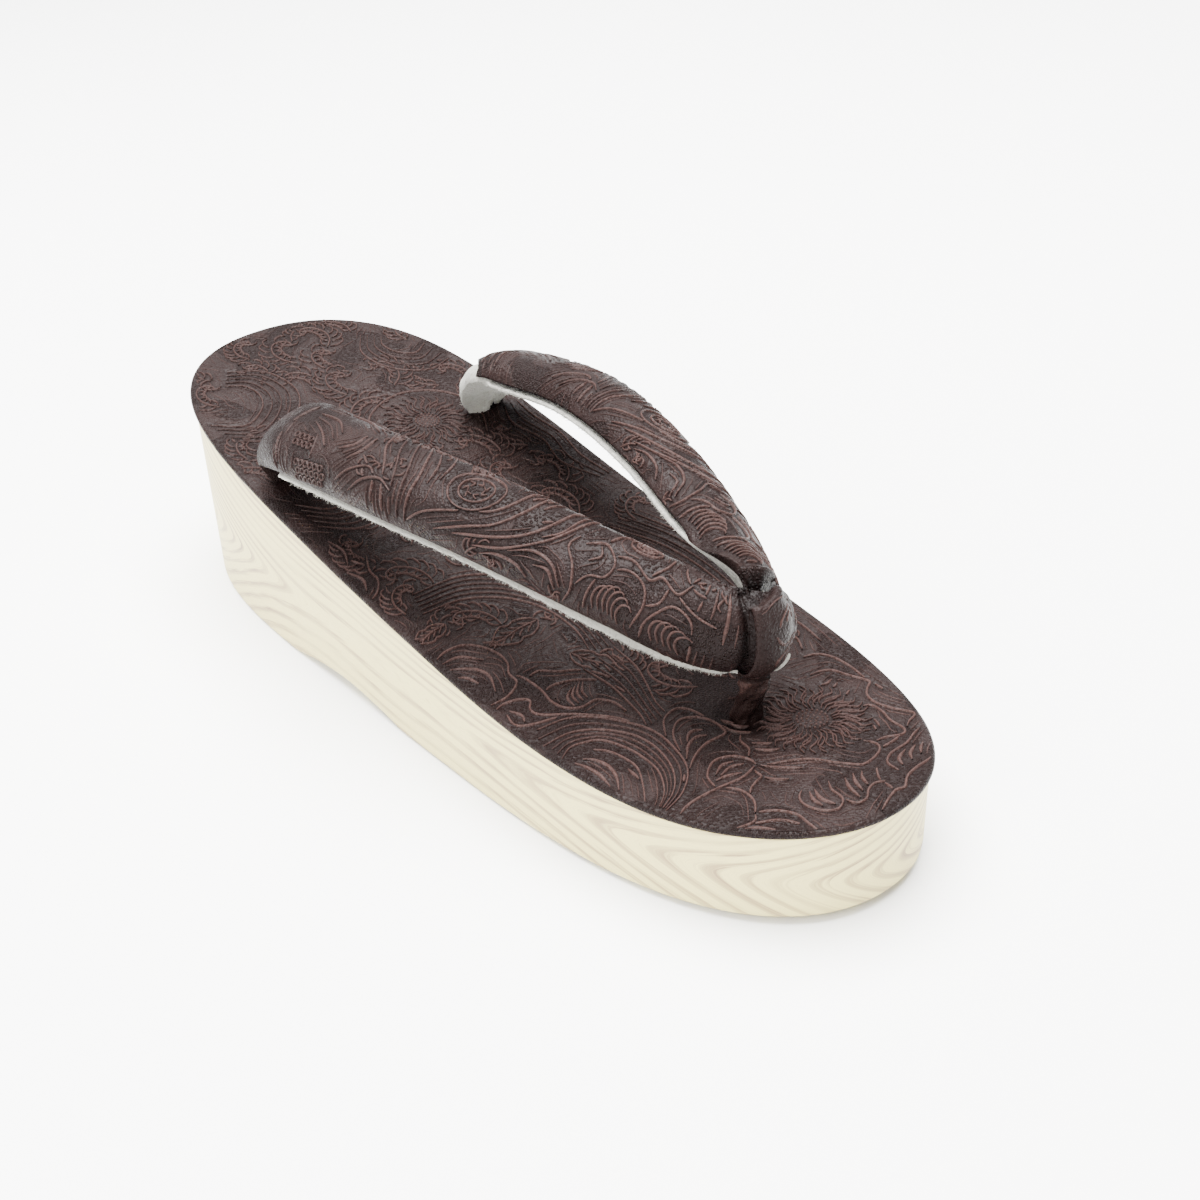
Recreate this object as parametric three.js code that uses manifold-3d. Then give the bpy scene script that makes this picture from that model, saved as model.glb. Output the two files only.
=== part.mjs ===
// A zori sandal: wedge sole block, leather-covered footbed, padded strap and toe thong.
// Millimetres, +Z up, toe towards -Y, X across. Origin on the floor, at the middle of the sole.
import * as THREE from "three";
import { mergeVertices } from "three/addons/utils/BufferGeometryUtils.js";
import Module from "manifold-3d";

const wasm = await Module();
wasm.setup();

// ---------------------------------------------------------------- driving dimensions
const LENGTH = 240;
const HALF_WIDTH = 39.6;
const WIDEST_Y = -8; // the outline's widest line
const HEEL_ROUND = { along: 5.2, across: 2.2 }; // exponents of the outline's two ends
const TOE_ROUND = { along: 3.5, across: 2.06 };
const OUTLINE_STEPS = 88; // points around the outline, an even number

const GAP = 0.3; // between pieces that meet
const COVER_THICK = 2.8;
const COVER_EDGE = 1.3; // radius of the footbed's rolled edge
const COVER_MARGIN = 5; // from the outline to the footbed's crowned middle
const CROWN = 0.6; // how far the footbed's middle stands above its edges
const WALL_INSET = 0.9; // the block's wall stands this far inside the footbed's edge
const TOE_TAPER = 1.6; // how far the wall leans in from top to bottom at the toe
const BOTTOM_EDGE = 1.2; // radius of the bottom edge

const SOCKET_DEPTH = 14;
const ABOVE = 9; // how far a cutter reaches over the footbed
const THONG_HOLE = { x: 1.5, y: -75.3, radius: 4.4, depth: 9 };
const STRAP_SLOT = { x: 28.2, y: 55.1, halfWide: 6.2, halfLong: 3.8, corner: 2.6 };

// Height of the footbed's top above the floor, and of the sole's underside.
const HEIGHTS = [
  { y: 120, top: 53.0, bottom: 0 },
  { y: 90, top: 48.9, bottom: 0 },
  { y: 60, top: 43.6, bottom: 0 },
  { y: 48, top: 41.3, bottom: 0 },
  { y: 36, top: 39.0, bottom: 2.0 },
  { y: 22, top: 36.2, bottom: 3.0 },
  { y: 8, top: 33.6, bottom: 1.7 },
  { y: -3, top: 31.7, bottom: 0 },
  { y: -36, top: 26.6, bottom: 0 },
  { y: -60, top: 24.1, bottom: 0.5 },
  { y: -90, top: 22.9, bottom: 1.2 },
  { y: -120, top: 24.5, bottom: 2.2 },
];

// Sections of the left strap from its root in the sole to the nose, where the right strap joins it.
// rise is above the footbed, half and thick are the section's half width and height, tilt is how far
// the outer edge hangs below the inner one, heading is the way the strap runs seen from above,
// forward is how much nearer the toe the right strap lies, and steps leads up to the next row.
const STRAP_SECTIONS = [
  { x: -28.2, y: 53.0, rise: -11, half: 4.2, thick: 4.0, tilt: 4, heading: -90, forward: 0, steps: 3 },
  { x: -28.2, y: 53.4, rise: -1, half: 5.0, thick: 4.4, tilt: 8, heading: -90, forward: 0, steps: 3 },
  { x: -28.0, y: 53.4, rise: 6, half: 9.0, thick: 5.4, tilt: 14, heading: -90, forward: 3.5, steps: 4 },
  { x: -28.2, y: 47.5, rise: 12.4, half: 11.0, thick: 7.6, tilt: 19, heading: -90, forward: 5, steps: 4 },
  { x: -28.4, y: 33, rise: 17.2, half: 10.9, thick: 8.6, tilt: 17, heading: -89, forward: 3, steps: 5 },
  { x: -27.2, y: 6, rise: 24.0, half: 10.5, thick: 8.9, tilt: 19, heading: -82, forward: 1.2, steps: 5 },
  { x: -20.4, y: -26, rise: 27.2, half: 9.9, thick: 8.8, tilt: 28, heading: -74, forward: 0.4, steps: 5 },
  { x: -11.8, y: -56, rise: 26.0, half: 9.5, thick: 8.0, tilt: 38, heading: -73, forward: 0, steps: 6 },
  { x: -6.6, y: -72.6, rise: 23.6, half: 9.0, thick: 6.4, tilt: 74, heading: -62, forward: 0, steps: 8 },
  { x: 0, y: -78.8, rise: 23.0, half: 8.8, thick: 6.0, tilt: 87, heading: 0, forward: 0, steps: 0 },
];
const STRAP_AROUND = 24; // points around one section
const BELLY = 1.2; // how far the felt underside bulges below a section's middle
const SECTION_ROUND = { across: 0.85, up: 0.82 }; // under 1 is squarer than an ellipse

// The toe thong: a band around the strap's nose, and a cord from its lower end into the sole.
const BAND = { gap: 0.46, strips: 8 };
// The band's half width and thickness around the nose: turn is 0 at the neck, 90 in front, 180 over
// the top and 270 behind, where the band is thin between the two straps.
const BAND_SECTIONS = [
  { turn: 0, half: 3.3, thick: 1.5 },
  { turn: 60, half: 3.7, thick: 1.5 },
  { turn: 120, half: 4.9, thick: 1.5 },
  { turn: 150, half: 5.8, thick: 1.4 },
  { turn: 165, half: 5.6, thick: 1.2 },
  { turn: 180, half: 3.4, thick: 0.9 },
  { turn: 195, half: 1.5, thick: 0.7 },
  { turn: 240, half: 1.2, thick: 0.7 },
  { turn: 300, half: 1.4, thick: 0.9 },
  { turn: 330, half: 2.2, thick: 1.3 },
  { turn: 360, half: 3.3, thick: 1.5 },
];
const THONG_PATH = [
  { x: 0, y: -80.0, z: 36.2, radius: 3.3 },
  { x: 0.4, y: -79.4, z: 32.5, radius: 3.4 },
  { x: 1.0, y: -77.6, z: 29.0, radius: 3.4 },
  { x: 1.5, y: -75.4, z: 22.6, radius: 3.6 },
  { x: 1.5, y: -75.0, z: 16.0, radius: 3.3 },
];
const THONG_SIDES = 16;
const THONG_STEPS = 18;

// ---------------------------------------------------------------- tables and outlines
// Smooth value of a table's column: a cubic through the rows, with slopes from their neighbours.
function along(rows, key, column, at) {
  const sign = Math.sign(rows[rows.length - 1][key] - rows[0][key]);
  let row = 0;
  while (row < rows.length - 2 && sign * (at - rows[row + 1][key]) > 0) row += 1;
  const slope = (i) => {
    const before = rows[Math.max(i - 1, 0)];
    const after = rows[Math.min(i + 1, rows.length - 1)];
    return (after[column] - before[column]) / (after[key] - before[key]);
  };
  const low = rows[row];
  const high = rows[row + 1];
  const span = high[key] - low[key];
  const t = (at - low[key]) / span;
  const rise = high[column] - low[column];
  const first = slope(row) * span;
  const last = slope(row + 1) * span;
  const bend = first - rise;
  const turn = rise - last;
  return low[column] + rise * t + t * (1 - t) * (bend * (1 - t) + turn * t);
}

// The underside is flat between rows of equal height, and a straight or cubic run elsewhere.
function undersideAt(y) {
  const row = HEIGHTS.findIndex((section, i) => i > 0 && y >= section.y);
  const high = HEIGHTS[Math.max(row - 1, 0)];
  const low = HEIGHTS[row < 0 ? HEIGHTS.length - 1 : row];
  if (high.bottom === 0 && low.bottom === 0) return 0;
  return Math.max(0, along(HEIGHTS, "y", "bottom", y));
}

const topAt = (y) => along(HEIGHTS, "y", "top", y);

// Half the sole's width at a place along its length.
function halfWidthAt(y) {
  const heel = y > WIDEST_Y;
  const round = heel ? HEEL_ROUND : TOE_ROUND;
  const reach = heel ? LENGTH / 2 - WIDEST_Y : LENGTH / 2 + WIDEST_Y;
  const part = Math.min(Math.abs(y - WIDEST_Y) / reach, 1);
  return HALF_WIDTH * (1 - part ** round.along) ** (1 / round.across);
}

// Points around the outline, anticlockwise from the heel's tip, each with its outward normal.
function outline() {
  const point = (turn) => {
    const y = (LENGTH / 2) * Math.cos(turn);
    return new THREE.Vector2(-Math.sign(Math.sin(turn)) * halfWidthAt(y), y);
  };
  const points = [];
  for (let i = 0; i < OUTLINE_STEPS; i += 1) {
    const turn = (2 * Math.PI * i) / OUTLINE_STEPS;
    const tip = i === 0 || i === OUTLINE_STEPS / 2;
    const at = tip ? new THREE.Vector2(0, (LENGTH / 2) * Math.cos(turn)) : point(turn);
    const nudge = Math.PI / OUTLINE_STEPS / 2;
    const before = point(turn - nudge);
    const after = point(turn + nudge);
    const normal = new THREE.Vector2(after.y - before.y, before.x - after.x).normalize();
    points.push({ at, normal });
  }
  return points;
}
const OUTLINE = outline();

// A ring of the outline moved inwards by inset, at heights given by a function of the place.
function ring(inset, heightAt) {
  return OUTLINE.map(({ at, normal }) => {
    const toeward = Math.max(-normal.y, 0) ** 2;
    const move = typeof inset === "function" ? inset(toeward) : inset;
    const x = at.x - normal.x * move;
    const y = at.y - normal.y * move;
    return new THREE.Vector3(x, y, heightAt(y, x));
  });
}

// ---------------------------------------------------------------- meshes and solids
// Collects triangles as lists of points, and gives a geometry with its shared points merged.
class Surface {
  constructor() {
    this.points = [];
  }

  triangle(a, b, c) {
    this.points.push(a, b, c);
  }

  quad(a, b, c, d) {
    this.triangle(a, b, c);
    this.triangle(a, c, d);
  }

  // Joins two rings of equal length, the second one below or after the first.
  join(upper, lower) {
    upper.forEach((point, i) => {
      const next = (i + 1) % upper.length;
      this.quad(point, lower[i], lower[next], upper[next]);
    });
  }

  // Closes a ring that mirrors itself across its first point, by strips from side to side.
  fillAcross(edge, strips, heightAt, up) {
    const half = edge.length / 2;
    const row = (i) => {
      const left = edge[i];
      const right = edge[(edge.length - i) % edge.length];
      const cells = [];
      for (let k = 0; k <= strips; k += 1) {
        const point = left.clone().lerp(right, k / strips);
        if (k > 0 && k < strips) point.z = heightAt(point.y, point.x);
        cells.push(point);
      }
      return cells;
    };
    for (let i = 0; i < half; i += 1) {
      const here = row(i);
      const next = row(i + 1);
      for (let k = 0; k < strips; k += 1) {
        if (up) this.quad(here[k], next[k], next[k + 1], here[k + 1]);
        else this.quad(here[k], here[k + 1], next[k + 1], next[k]);
      }
    }
  }

  // Closes a ring with a fan from its middle.
  cap(edge, outwards) {
    const middle = new THREE.Vector3();
    edge.forEach((point) => middle.addScaledVector(point, 1 / edge.length));
    edge.forEach((point, i) => {
      const next = edge[(i + 1) % edge.length];
      if (outwards) this.triangle(middle, point, next);
      else this.triangle(middle, next, point);
    });
  }

  geometry() {
    const made = new THREE.BufferGeometry().setFromPoints(this.points);
    const merged = mergeVertices(made, 1e-4);
    const index = merged.index.array;
    const kept = [];
    for (let i = 0; i < index.length; i += 3) {
      const [a, b, c] = index.slice(i, i + 3);
      if (a !== b && b !== c && c !== a) kept.push(a, b, c);
    }
    merged.setIndex(kept);
    return merged;
  }
}

function solid(geometry) {
  const bare = geometry.clone();
  bare.deleteAttribute("normal");
  bare.deleteAttribute("uv");
  const merged = mergeVertices(bare, 1e-4);
  return new wasm.Manifold(
    new wasm.Mesh({
      numProp: 3,
      vertProperties: new Float32Array(merged.attributes.position.array),
      triVerts: new Uint32Array(merged.index.array),
    }),
  );
}

function geometryOf(manifold) {
  const mesh = manifold.getMesh();
  const made = new THREE.BufferGeometry();
  made.setAttribute("position", new THREE.BufferAttribute(mesh.vertProperties, 3));
  made.setIndex(new THREE.BufferAttribute(mesh.triVerts, 1));
  return made;
}

function node(name, manifold, colour, roughness) {
  const material = new THREE.MeshStandardMaterial({ color: colour, roughness, metalness: 0 });
  const geometry = geometryOf(manifold);
  geometry.computeVertexNormals();
  const mesh = new THREE.Mesh(geometry, material);
  mesh.name = name;
  return mesh;
}

// ---------------------------------------------------------------- sockets in the sole
// An upright rounded-rectangle cutter from one height to another.
function slotCutter(x, low, high) {
  const { y, halfWide: wide, halfLong: long, corner } = STRAP_SLOT;
  const shape = new THREE.Shape();
  shape.absarc(wide - corner, long - corner, corner, 0, Math.PI / 2);
  shape.absarc(corner - wide, long - corner, corner, Math.PI / 2, Math.PI);
  shape.absarc(corner - wide, corner - long, corner, Math.PI, 1.5 * Math.PI);
  shape.absarc(wide - corner, corner - long, corner, 1.5 * Math.PI, 2 * Math.PI);
  const cutter = new THREE.ExtrudeGeometry(shape, {
    depth: high - low,
    bevelEnabled: false,
    curveSegments: 4,
  });
  cutter.translate(x, y, low);
  return solid(cutter);
}

function holeCutter(low, high) {
  const cutter = new THREE.CylinderGeometry(THONG_HOLE.radius, THONG_HOLE.radius, high - low, 20);
  cutter.rotateX(Math.PI / 2);
  cutter.translate(THONG_HOLE.x, THONG_HOLE.y, (low + high) / 2);
  return solid(cutter);
}

// The two strap slots and the thong's hole, cut into a piece down to each socket's floor.
function withSockets(piece) {
  const heelTop = topAt(STRAP_SLOT.y);
  const toeTop = topAt(THONG_HOLE.y);
  let cut = piece;
  for (const side of [-1, 1]) {
    cut = cut.subtract(slotCutter(side * STRAP_SLOT.x, heelTop - SOCKET_DEPTH, heelTop + ABOVE));
  }
  return cut.subtract(holeCutter(toeTop - THONG_HOLE.depth, toeTop + ABOVE));
}

// ---------------------------------------------------------------- sole block
function soleBlock() {
  const deck = (y) => topAt(y) - COVER_THICK - GAP;
  const lean = (part) => (toeward) => WALL_INSET + TOE_TAPER * toeward * part;
  const surface = new Surface();
  const rings = [ring(lean(0), deck)];
  for (const part of [0.35, 0.7]) {
    rings.push(ring(lean(part), (y) => deck(y) + (undersideAt(y) - deck(y)) * part));
  }
  for (const turn of [0, 30, 60, 90]) {
    const angle = THREE.MathUtils.degToRad(turn);
    const inward = BOTTOM_EDGE * (1 - Math.cos(angle));
    const upward = BOTTOM_EDGE * (1 - Math.sin(angle));
    const inset = (toeward) => lean(1)(toeward) + inward;
    rings.push(ring(inset, (y) => undersideAt(y) + upward));
  }
  for (let i = 0; i < rings.length - 1; i += 1) surface.join(rings[i], rings[i + 1]);
  surface.fillAcross(rings[0], 2, deck, true);
  surface.fillAcross(rings[rings.length - 1], 2, undersideAt, false);
  return withSockets(solid(surface.geometry()));
}

// ---------------------------------------------------------------- footbed cover
// The leather rolls over the board's edge, and the footbed is slightly crowned across.
function footbedCover() {
  const crowned = (y, x) => {
    const across = Math.min(Math.abs(x) / Math.max(halfWidthAt(y), 1), 1);
    return topAt(y) + CROWN * (1 - across ** 2);
  };
  const surface = new Surface();
  const rings = [ring(COVER_MARGIN, crowned)];
  for (const turn of [90, 60, 30, 0, -30, -60, -90]) {
    const angle = THREE.MathUtils.degToRad(turn);
    const inset = COVER_EDGE * (1 - Math.cos(angle));
    const middle = turn > 0 ? -COVER_EDGE : COVER_EDGE - COVER_THICK;
    const lift = middle + COVER_EDGE * Math.sin(angle);
    rings.push(ring(inset, (y, x) => (turn > 0 ? crowned(y, x) : topAt(y)) + lift));
  }
  for (let i = 0; i < rings.length - 1; i += 1) surface.join(rings[i], rings[i + 1]);
  surface.fillAcross(rings[0], 6, crowned, true);
  surface.fillAcross(rings[rings.length - 1], 2, (y) => topAt(y) - COVER_THICK, false);
  return withSockets(solid(surface.geometry()));
}

// ---------------------------------------------------------------- strap
// Each row's distance from the nose, measured along the left strap. A last row past the nose, where
// the strap mirrors itself, makes the bend round.
function rowDistances() {
  const placed = STRAP_SECTIONS.map((row) => ({ ...row, z: topAt(row.y) + row.rise }));
  placed[placed.length - 1].fromNose = 0;
  for (let i = placed.length - 2; i >= 0; i -= 1) {
    const here = placed[i];
    const next = placed[i + 1];
    const gap = Math.hypot(here.x - next.x, here.y - next.y, here.z - next.z);
    here.fromNose = next.fromNose + gap;
  }
  const last = placed[placed.length - 2];
  placed.push({ ...last, x: -last.x, heading: -last.heading, fromNose: -last.fromNose });
  return placed;
}
const STRAP_ROWS = rowDistances();
const strapColumn = (column, fromNose) => along(STRAP_ROWS, "fromNose", column, fromNose);

// The distances at which the strap has a section, from the root to the nose.
const STRAP_STOPS = STRAP_SECTIONS.flatMap((section, i) => {
  const row = STRAP_ROWS[i];
  if (row.fromNose === 0) return [0];
  const gap = STRAP_ROWS[i + 1].fromNose - row.fromNose;
  return Array.from({ length: row.steps }, (_, k) => row.fromNose + (gap * k) / row.steps);
});

function strapCentre(fromNose, right) {
  const y = strapColumn("y", fromNose) - (right ? strapColumn("forward", fromNose) : 0);
  return new THREE.Vector3(strapColumn("x", fromNose), y, topAt(y) + strapColumn("rise", fromNose));
}

// The frame of one section: side is towards its outer edge, out is towards its crown.
function strapFrame(fromNose, right) {
  const step = 0.5;
  const ahead = strapCentre(fromNose - step, right);
  const run = ahead.sub(strapCentre(fromNose + step, right)).normalize();
  const heading = THREE.MathUtils.degToRad(strapColumn("heading", fromNose));
  const tilt = THREE.MathUtils.degToRad(strapColumn("tilt", fromNose));
  const side = new THREE.Vector3(
    Math.sin(heading) * Math.cos(tilt),
    -Math.cos(heading) * Math.cos(tilt),
    -Math.sin(tilt),
  );
  side.addScaledVector(run, -side.dot(run)).normalize();
  const out = new THREE.Vector3().crossVectors(side, run);
  return { side, out };
}

// A section's outline, larger by grow: a crowned pad above the centre line, a shallow belly below.
function strapSection(fromNose, right, grow) {
  const centre = strapCentre(fromNose, right);
  const { side, out } = strapFrame(fromNose, right);
  const half = strapColumn("half", fromNose);
  const thick = strapColumn("thick", fromNose);
  const points = [];
  for (let k = 0; k < STRAP_AROUND; k += 1) {
    const turn = (2 * Math.PI * k) / STRAP_AROUND;
    const across = Math.cos(turn);
    const up = Math.sin(turn);
    const wide = (half + grow) * Math.sign(across) * Math.abs(across) ** SECTION_ROUND.across;
    const high = up > 0 ? (thick + grow) * up ** SECTION_ROUND.up : (BELLY + grow) * up;
    const point = centre.clone().addScaledVector(side, wide).addScaledVector(out, high);
    if (right) point.x = -point.x;
    points.push(point);
  }
  return points;
}

function strapSolid() {
  const left = STRAP_STOPS.map((stop) => strapSection(stop, false, 0));
  left[left.length - 1].forEach((point) => point.setX(0));
  const right = STRAP_STOPS.slice(0, -1).map((stop) => strapSection(stop, true, 0));
  const rings = [...left, ...right.reverse()];
  const surface = new Surface();
  for (let i = 0; i < rings.length - 1; i += 1) surface.join(rings[i], rings[i + 1]);
  surface.cap(rings[0], true);
  surface.cap(rings[rings.length - 1], false);
  return solid(surface.geometry());
}

// ---------------------------------------------------------------- toe thong
// The band wraps the nose all round, wide over the top and narrow at the neck below.
function band() {
  const shell = (skinned) => {
    const rows = [];
    for (let i = 0; i <= BAND.strips; i += 1) {
      const part = (2 * i) / BAND.strips - 1;
      const points = [];
      for (let k = 0; k < STRAP_AROUND; k += 1) {
        const turn = (360 * k) / STRAP_AROUND;
        const half = along(BAND_SECTIONS, "turn", "half", turn);
        const thick = skinned ? along(BAND_SECTIONS, "turn", "thick", turn) : 0;
        const section = strapSection(Math.abs(part) * half, part > 0, BAND.gap + thick);
        points.push(section[k]);
      }
      rows.push(points);
    }
    return rows;
  };
  const bare = shell(false);
  const skin = shell(true);
  const surface = new Surface();
  for (let i = 0; i < BAND.strips; i += 1) {
    surface.join(skin[i], skin[i + 1]);
    surface.join(bare[i + 1], bare[i]);
  }
  surface.join(bare[0], skin[0]);
  surface.join(skin[BAND.strips], bare[BAND.strips]);
  return solid(surface.geometry());
}

// The cord below the band, a round tube along a short path into the sole.
function thongCord() {
  const path = new THREE.CatmullRomCurve3(
    THONG_PATH.map(({ x, y, z }) => new THREE.Vector3(x, y, z)),
  );
  const surface = new Surface();
  const rings = [];
  for (let i = 0; i <= THONG_STEPS; i += 1) {
    const t = i / THONG_STEPS;
    const run = path.getTangent(t);
    const side = new THREE.Vector3(1, 0, 0).addScaledVector(run, -run.x).normalize();
    const front = new THREE.Vector3().crossVectors(side, run);
    const place = t * (THONG_PATH.length - 1);
    const row = Math.min(Math.floor(place), THONG_PATH.length - 2);
    const { radius } = THONG_PATH[row];
    const swell = radius + (THONG_PATH[row + 1].radius - radius) * (place - row);
    const points = [];
    for (let k = 0; k < THONG_SIDES; k += 1) {
      const turn = (2 * Math.PI * k) / THONG_SIDES;
      const point = path.getPoint(t).addScaledVector(side, swell * Math.cos(turn));
      points.push(point.addScaledVector(front, swell * Math.sin(turn)));
    }
    rings.push(points);
  }
  for (let i = 0; i < THONG_STEPS; i += 1) surface.join(rings[i], rings[i + 1]);
  surface.cap(rings[0], true);
  surface.cap(rings[THONG_STEPS], false);
  return solid(surface.geometry());
}

const toeThong = () => band().add(thongCord());

// ---------------------------------------------------------------- assembly
const sandal = new THREE.Group();
sandal.add(node("sole_block", soleBlock(), 0xece9da, 0.5));
sandal.add(node("footbed_cover", footbedCover(), 0x4b3d3b, 0.55));
sandal.add(node("strap", strapSolid(), 0x4e403e, 0.55));
sandal.add(node("toe_thong", toeThong(), 0x43363a, 0.6));

export default sandal;
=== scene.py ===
import math

import bmesh
import bpy
import numpy as np
from mathutils import Matrix, Vector, kdtree, noise


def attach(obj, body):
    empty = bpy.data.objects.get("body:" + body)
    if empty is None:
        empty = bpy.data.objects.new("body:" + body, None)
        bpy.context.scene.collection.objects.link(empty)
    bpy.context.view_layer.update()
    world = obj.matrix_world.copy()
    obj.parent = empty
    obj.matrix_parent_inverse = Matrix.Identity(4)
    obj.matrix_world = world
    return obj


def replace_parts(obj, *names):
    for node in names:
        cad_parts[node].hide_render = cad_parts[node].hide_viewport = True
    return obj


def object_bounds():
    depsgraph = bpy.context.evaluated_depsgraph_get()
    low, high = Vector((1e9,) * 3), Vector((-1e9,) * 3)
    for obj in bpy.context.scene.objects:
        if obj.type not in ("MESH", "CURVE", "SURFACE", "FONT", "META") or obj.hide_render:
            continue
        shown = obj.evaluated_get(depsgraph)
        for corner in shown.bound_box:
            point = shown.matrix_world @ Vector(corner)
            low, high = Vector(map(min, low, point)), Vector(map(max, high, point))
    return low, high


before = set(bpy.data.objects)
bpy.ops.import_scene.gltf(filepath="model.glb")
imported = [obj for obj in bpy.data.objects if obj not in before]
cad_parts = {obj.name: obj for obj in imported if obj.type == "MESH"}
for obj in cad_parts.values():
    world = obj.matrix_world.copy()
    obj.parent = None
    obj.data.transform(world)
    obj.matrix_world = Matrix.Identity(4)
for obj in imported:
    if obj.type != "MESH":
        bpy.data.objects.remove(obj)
CAD_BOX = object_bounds()

bl_info = {
    "name": "Zori Sandal",
    "version": (1, 0, 0),
    "blender": (4, 5, 0),
    "location": "View3D > Sidebar > Zori",
    "description": "Builds a zori sandal in tooled leather, felt and a wood-grain wrap",
    "category": "Add Mesh",
}

MM = 0.001  # tables and places below are in millimetres, and meshes are in metres

# ------------------------------------------------------------------ the sandal's own dimensions
LENGTH = round((CAD_BOX[1].y - CAD_BOX[0].y) / MM, 1)
HALF_WIDTH = round((CAD_BOX[1].x - CAD_BOX[0].x) / 2 / MM, 1)
WIDEST_Y = -8  # where the sole is widest
HEEL_ROUND = (5.2, 2.2)  # exponents of the outline's ends, along and across
TOE_ROUND = (3.5, 2.06)
COVER_THICK = 1.7
COVER_EDGE = 0.85  # radius of the cover's rolled edge
CROWN = 0.6  # how much the footbed's middle stands above its edge
TIP_FADE = 6  # the crown dies out over this length at the toe and the heel
WALL_INSET = 0.9  # how far the wall stands in from the cover's edge
TOE_TAPER = 1.6  # how much further the wall leans in at the toe's bottom
BOTTOM_EDGE = 1.2  # radius of the wall's bottom edge
THONG_FOOT = (1.5, -75.3)  # where the toe thong enters the footbed
BELLY = 1.2  # how far a strap's section bulges below its edges
SECTION_ROUND = (0.85, 0.82)  # exponents of a strap's section, across and up

# y, height of the footbed's top, height of the underside
HEIGHTS = np.array(
    [
        (-120, 24.5, 2.2),
        (-90, 22.9, 1.2),
        (-60, 24.1, 0.5),
        (-36, 26.6, 0.0),
        (-3, 31.7, 0.0),
        (8, 33.6, 1.7),
        (22, 36.2, 3.0),
        (36, 39.0, 2.0),
        (48, 41.3, 0.0),
        (60, 43.6, 0.0),
        (90, 48.9, 0.0),
        (120, 53.0, 0.0),
    ]
)

# The left strap's sections from the root to the nose. rise is above the footbed, tilt is how far the
# outer edge hangs, heading is the strap's way seen from above, and forward is how much nearer the
# toe the right strap lies.
STRAP_COLUMNS = ("x", "y", "rise", "half", "thick", "tilt", "heading", "forward")
STRAP_SECTIONS = (
    (-28.2, 53.0, -11, 4.2, 4.0, 4, -90, 0),
    (-28.2, 53.4, -1, 5.0, 4.4, 8, -90, 0),
    (-28.0, 53.4, 6, 9.0, 5.4, 14, -90, 3.5),
    (-28.2, 47.5, 12.4, 11.0, 7.6, 19, -90, 5),
    (-28.4, 33, 17.2, 10.9, 8.6, 17, -89, 3),
    (-27.2, 6, 24.0, 10.5, 8.9, 19, -82, 1.2),
    (-20.4, -26, 27.2, 9.9, 8.8, 28, -74, 0.4),
    (-11.8, -56, 26.0, 9.5, 8.0, 38, -73, 0),
    (-6.6, -72.6, 23.6, 9.0, 6.4, 74, -62, 0),
    (0, -78.8, 23.0, 8.8, 6.0, 87, 0, 0),
)


# ------------------------------------------------------------------ smooth tables and outlines
def smooth(keys, values, at):
    """A cubic through the rows of a table, with slopes from their neighbours."""
    keys, values = np.asarray(keys, float), np.asarray(values, float)
    slopes = np.gradient(values, keys)
    slopes[1:-1] = (values[2:] - values[:-2]) / (keys[2:] - keys[:-2])
    row = np.clip(np.searchsorted(keys, at, side="right") - 1, 0, len(keys) - 2)
    span = keys[row + 1] - keys[row]
    t = (at - keys[row]) / span
    rise = values[row + 1] - values[row]
    first, last = slopes[row] * span, slopes[row + 1] * span
    bend = (first - rise) * (1 - t) + (rise - last) * t
    return values[row] + rise * t + t * (1 - t) * bend


def top_at(y):
    return smooth(HEIGHTS[:, 0], HEIGHTS[:, 1], y)


def underside_at(y):
    bottom = smooth(HEIGHTS[:, 0], HEIGHTS[:, 2], y)
    row = np.clip(np.searchsorted(HEIGHTS[:, 0], y, side="right") - 1, 0, len(HEIGHTS) - 2)
    flat = (HEIGHTS[row, 2] == 0) & (HEIGHTS[row + 1, 2] == 0)
    return np.where(flat, 0, np.maximum(bottom, 0))


def half_width_at(y):
    heel = y > WIDEST_Y
    along_power = np.where(heel, HEEL_ROUND[0], TOE_ROUND[0])
    across_power = np.where(heel, HEEL_ROUND[1], TOE_ROUND[1])
    reach = np.where(heel, LENGTH / 2 - WIDEST_Y, LENGTH / 2 + WIDEST_Y)
    part = np.clip(np.abs(y - WIDEST_Y) / reach, 0, 1)
    return HALF_WIDTH * (1 - part**along_power) ** (1 / across_power)


def outline(turns):
    """Points of the left half outline and their outward normals; turn 0 is the heel, pi the toe."""
    y = LENGTH / 2 * np.cos(turns)
    at = np.stack([-half_width_at(y), y], 1)
    nudge = 0.01

    def beside(turn):
        side = -np.sign(np.sin(turn))
        place = LENGTH / 2 * np.cos(turn)
        return np.stack([side * half_width_at(place), place], 1)

    run = beside(turns + nudge) - beside(turns - nudge)
    normal = np.stack([run[:, 1], -run[:, 0]], 1)
    return at, normal / np.linalg.norm(normal, axis=1)[:, None]


def crown_at(x, y):
    across = np.clip(np.abs(x) / np.maximum(half_width_at(y), 1), 0, 1)
    tips = np.clip((LENGTH / 2 - COVER_EDGE - np.abs(y)) / TIP_FADE, 0, 1)
    return top_at(y) + CROWN * (1 - across**2) * tips


# ------------------------------------------------------------------ the straps' surface
def strap_table():
    rows = [dict(zip(STRAP_COLUMNS, row)) for row in STRAP_SECTIONS]
    for row in rows:
        row["z"] = float(top_at(row["y"])) + row["rise"]
    rows[-1]["from_nose"] = 0.0
    for here, following in zip(rows[-2::-1], rows[:0:-1]):
        step = [here[axis] - following[axis] for axis in "xyz"]
        here["from_nose"] = following["from_nose"] + math.hypot(*step)
    past = rows[-2]
    rows.append(
        {**past, "x": -past["x"], "heading": -past["heading"], "from_nose": -past["from_nose"]}
    )
    rows.reverse()
    names = (*STRAP_COLUMNS, "from_nose")
    return {name: np.array([row[name] for row in rows]) for name in names}


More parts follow.
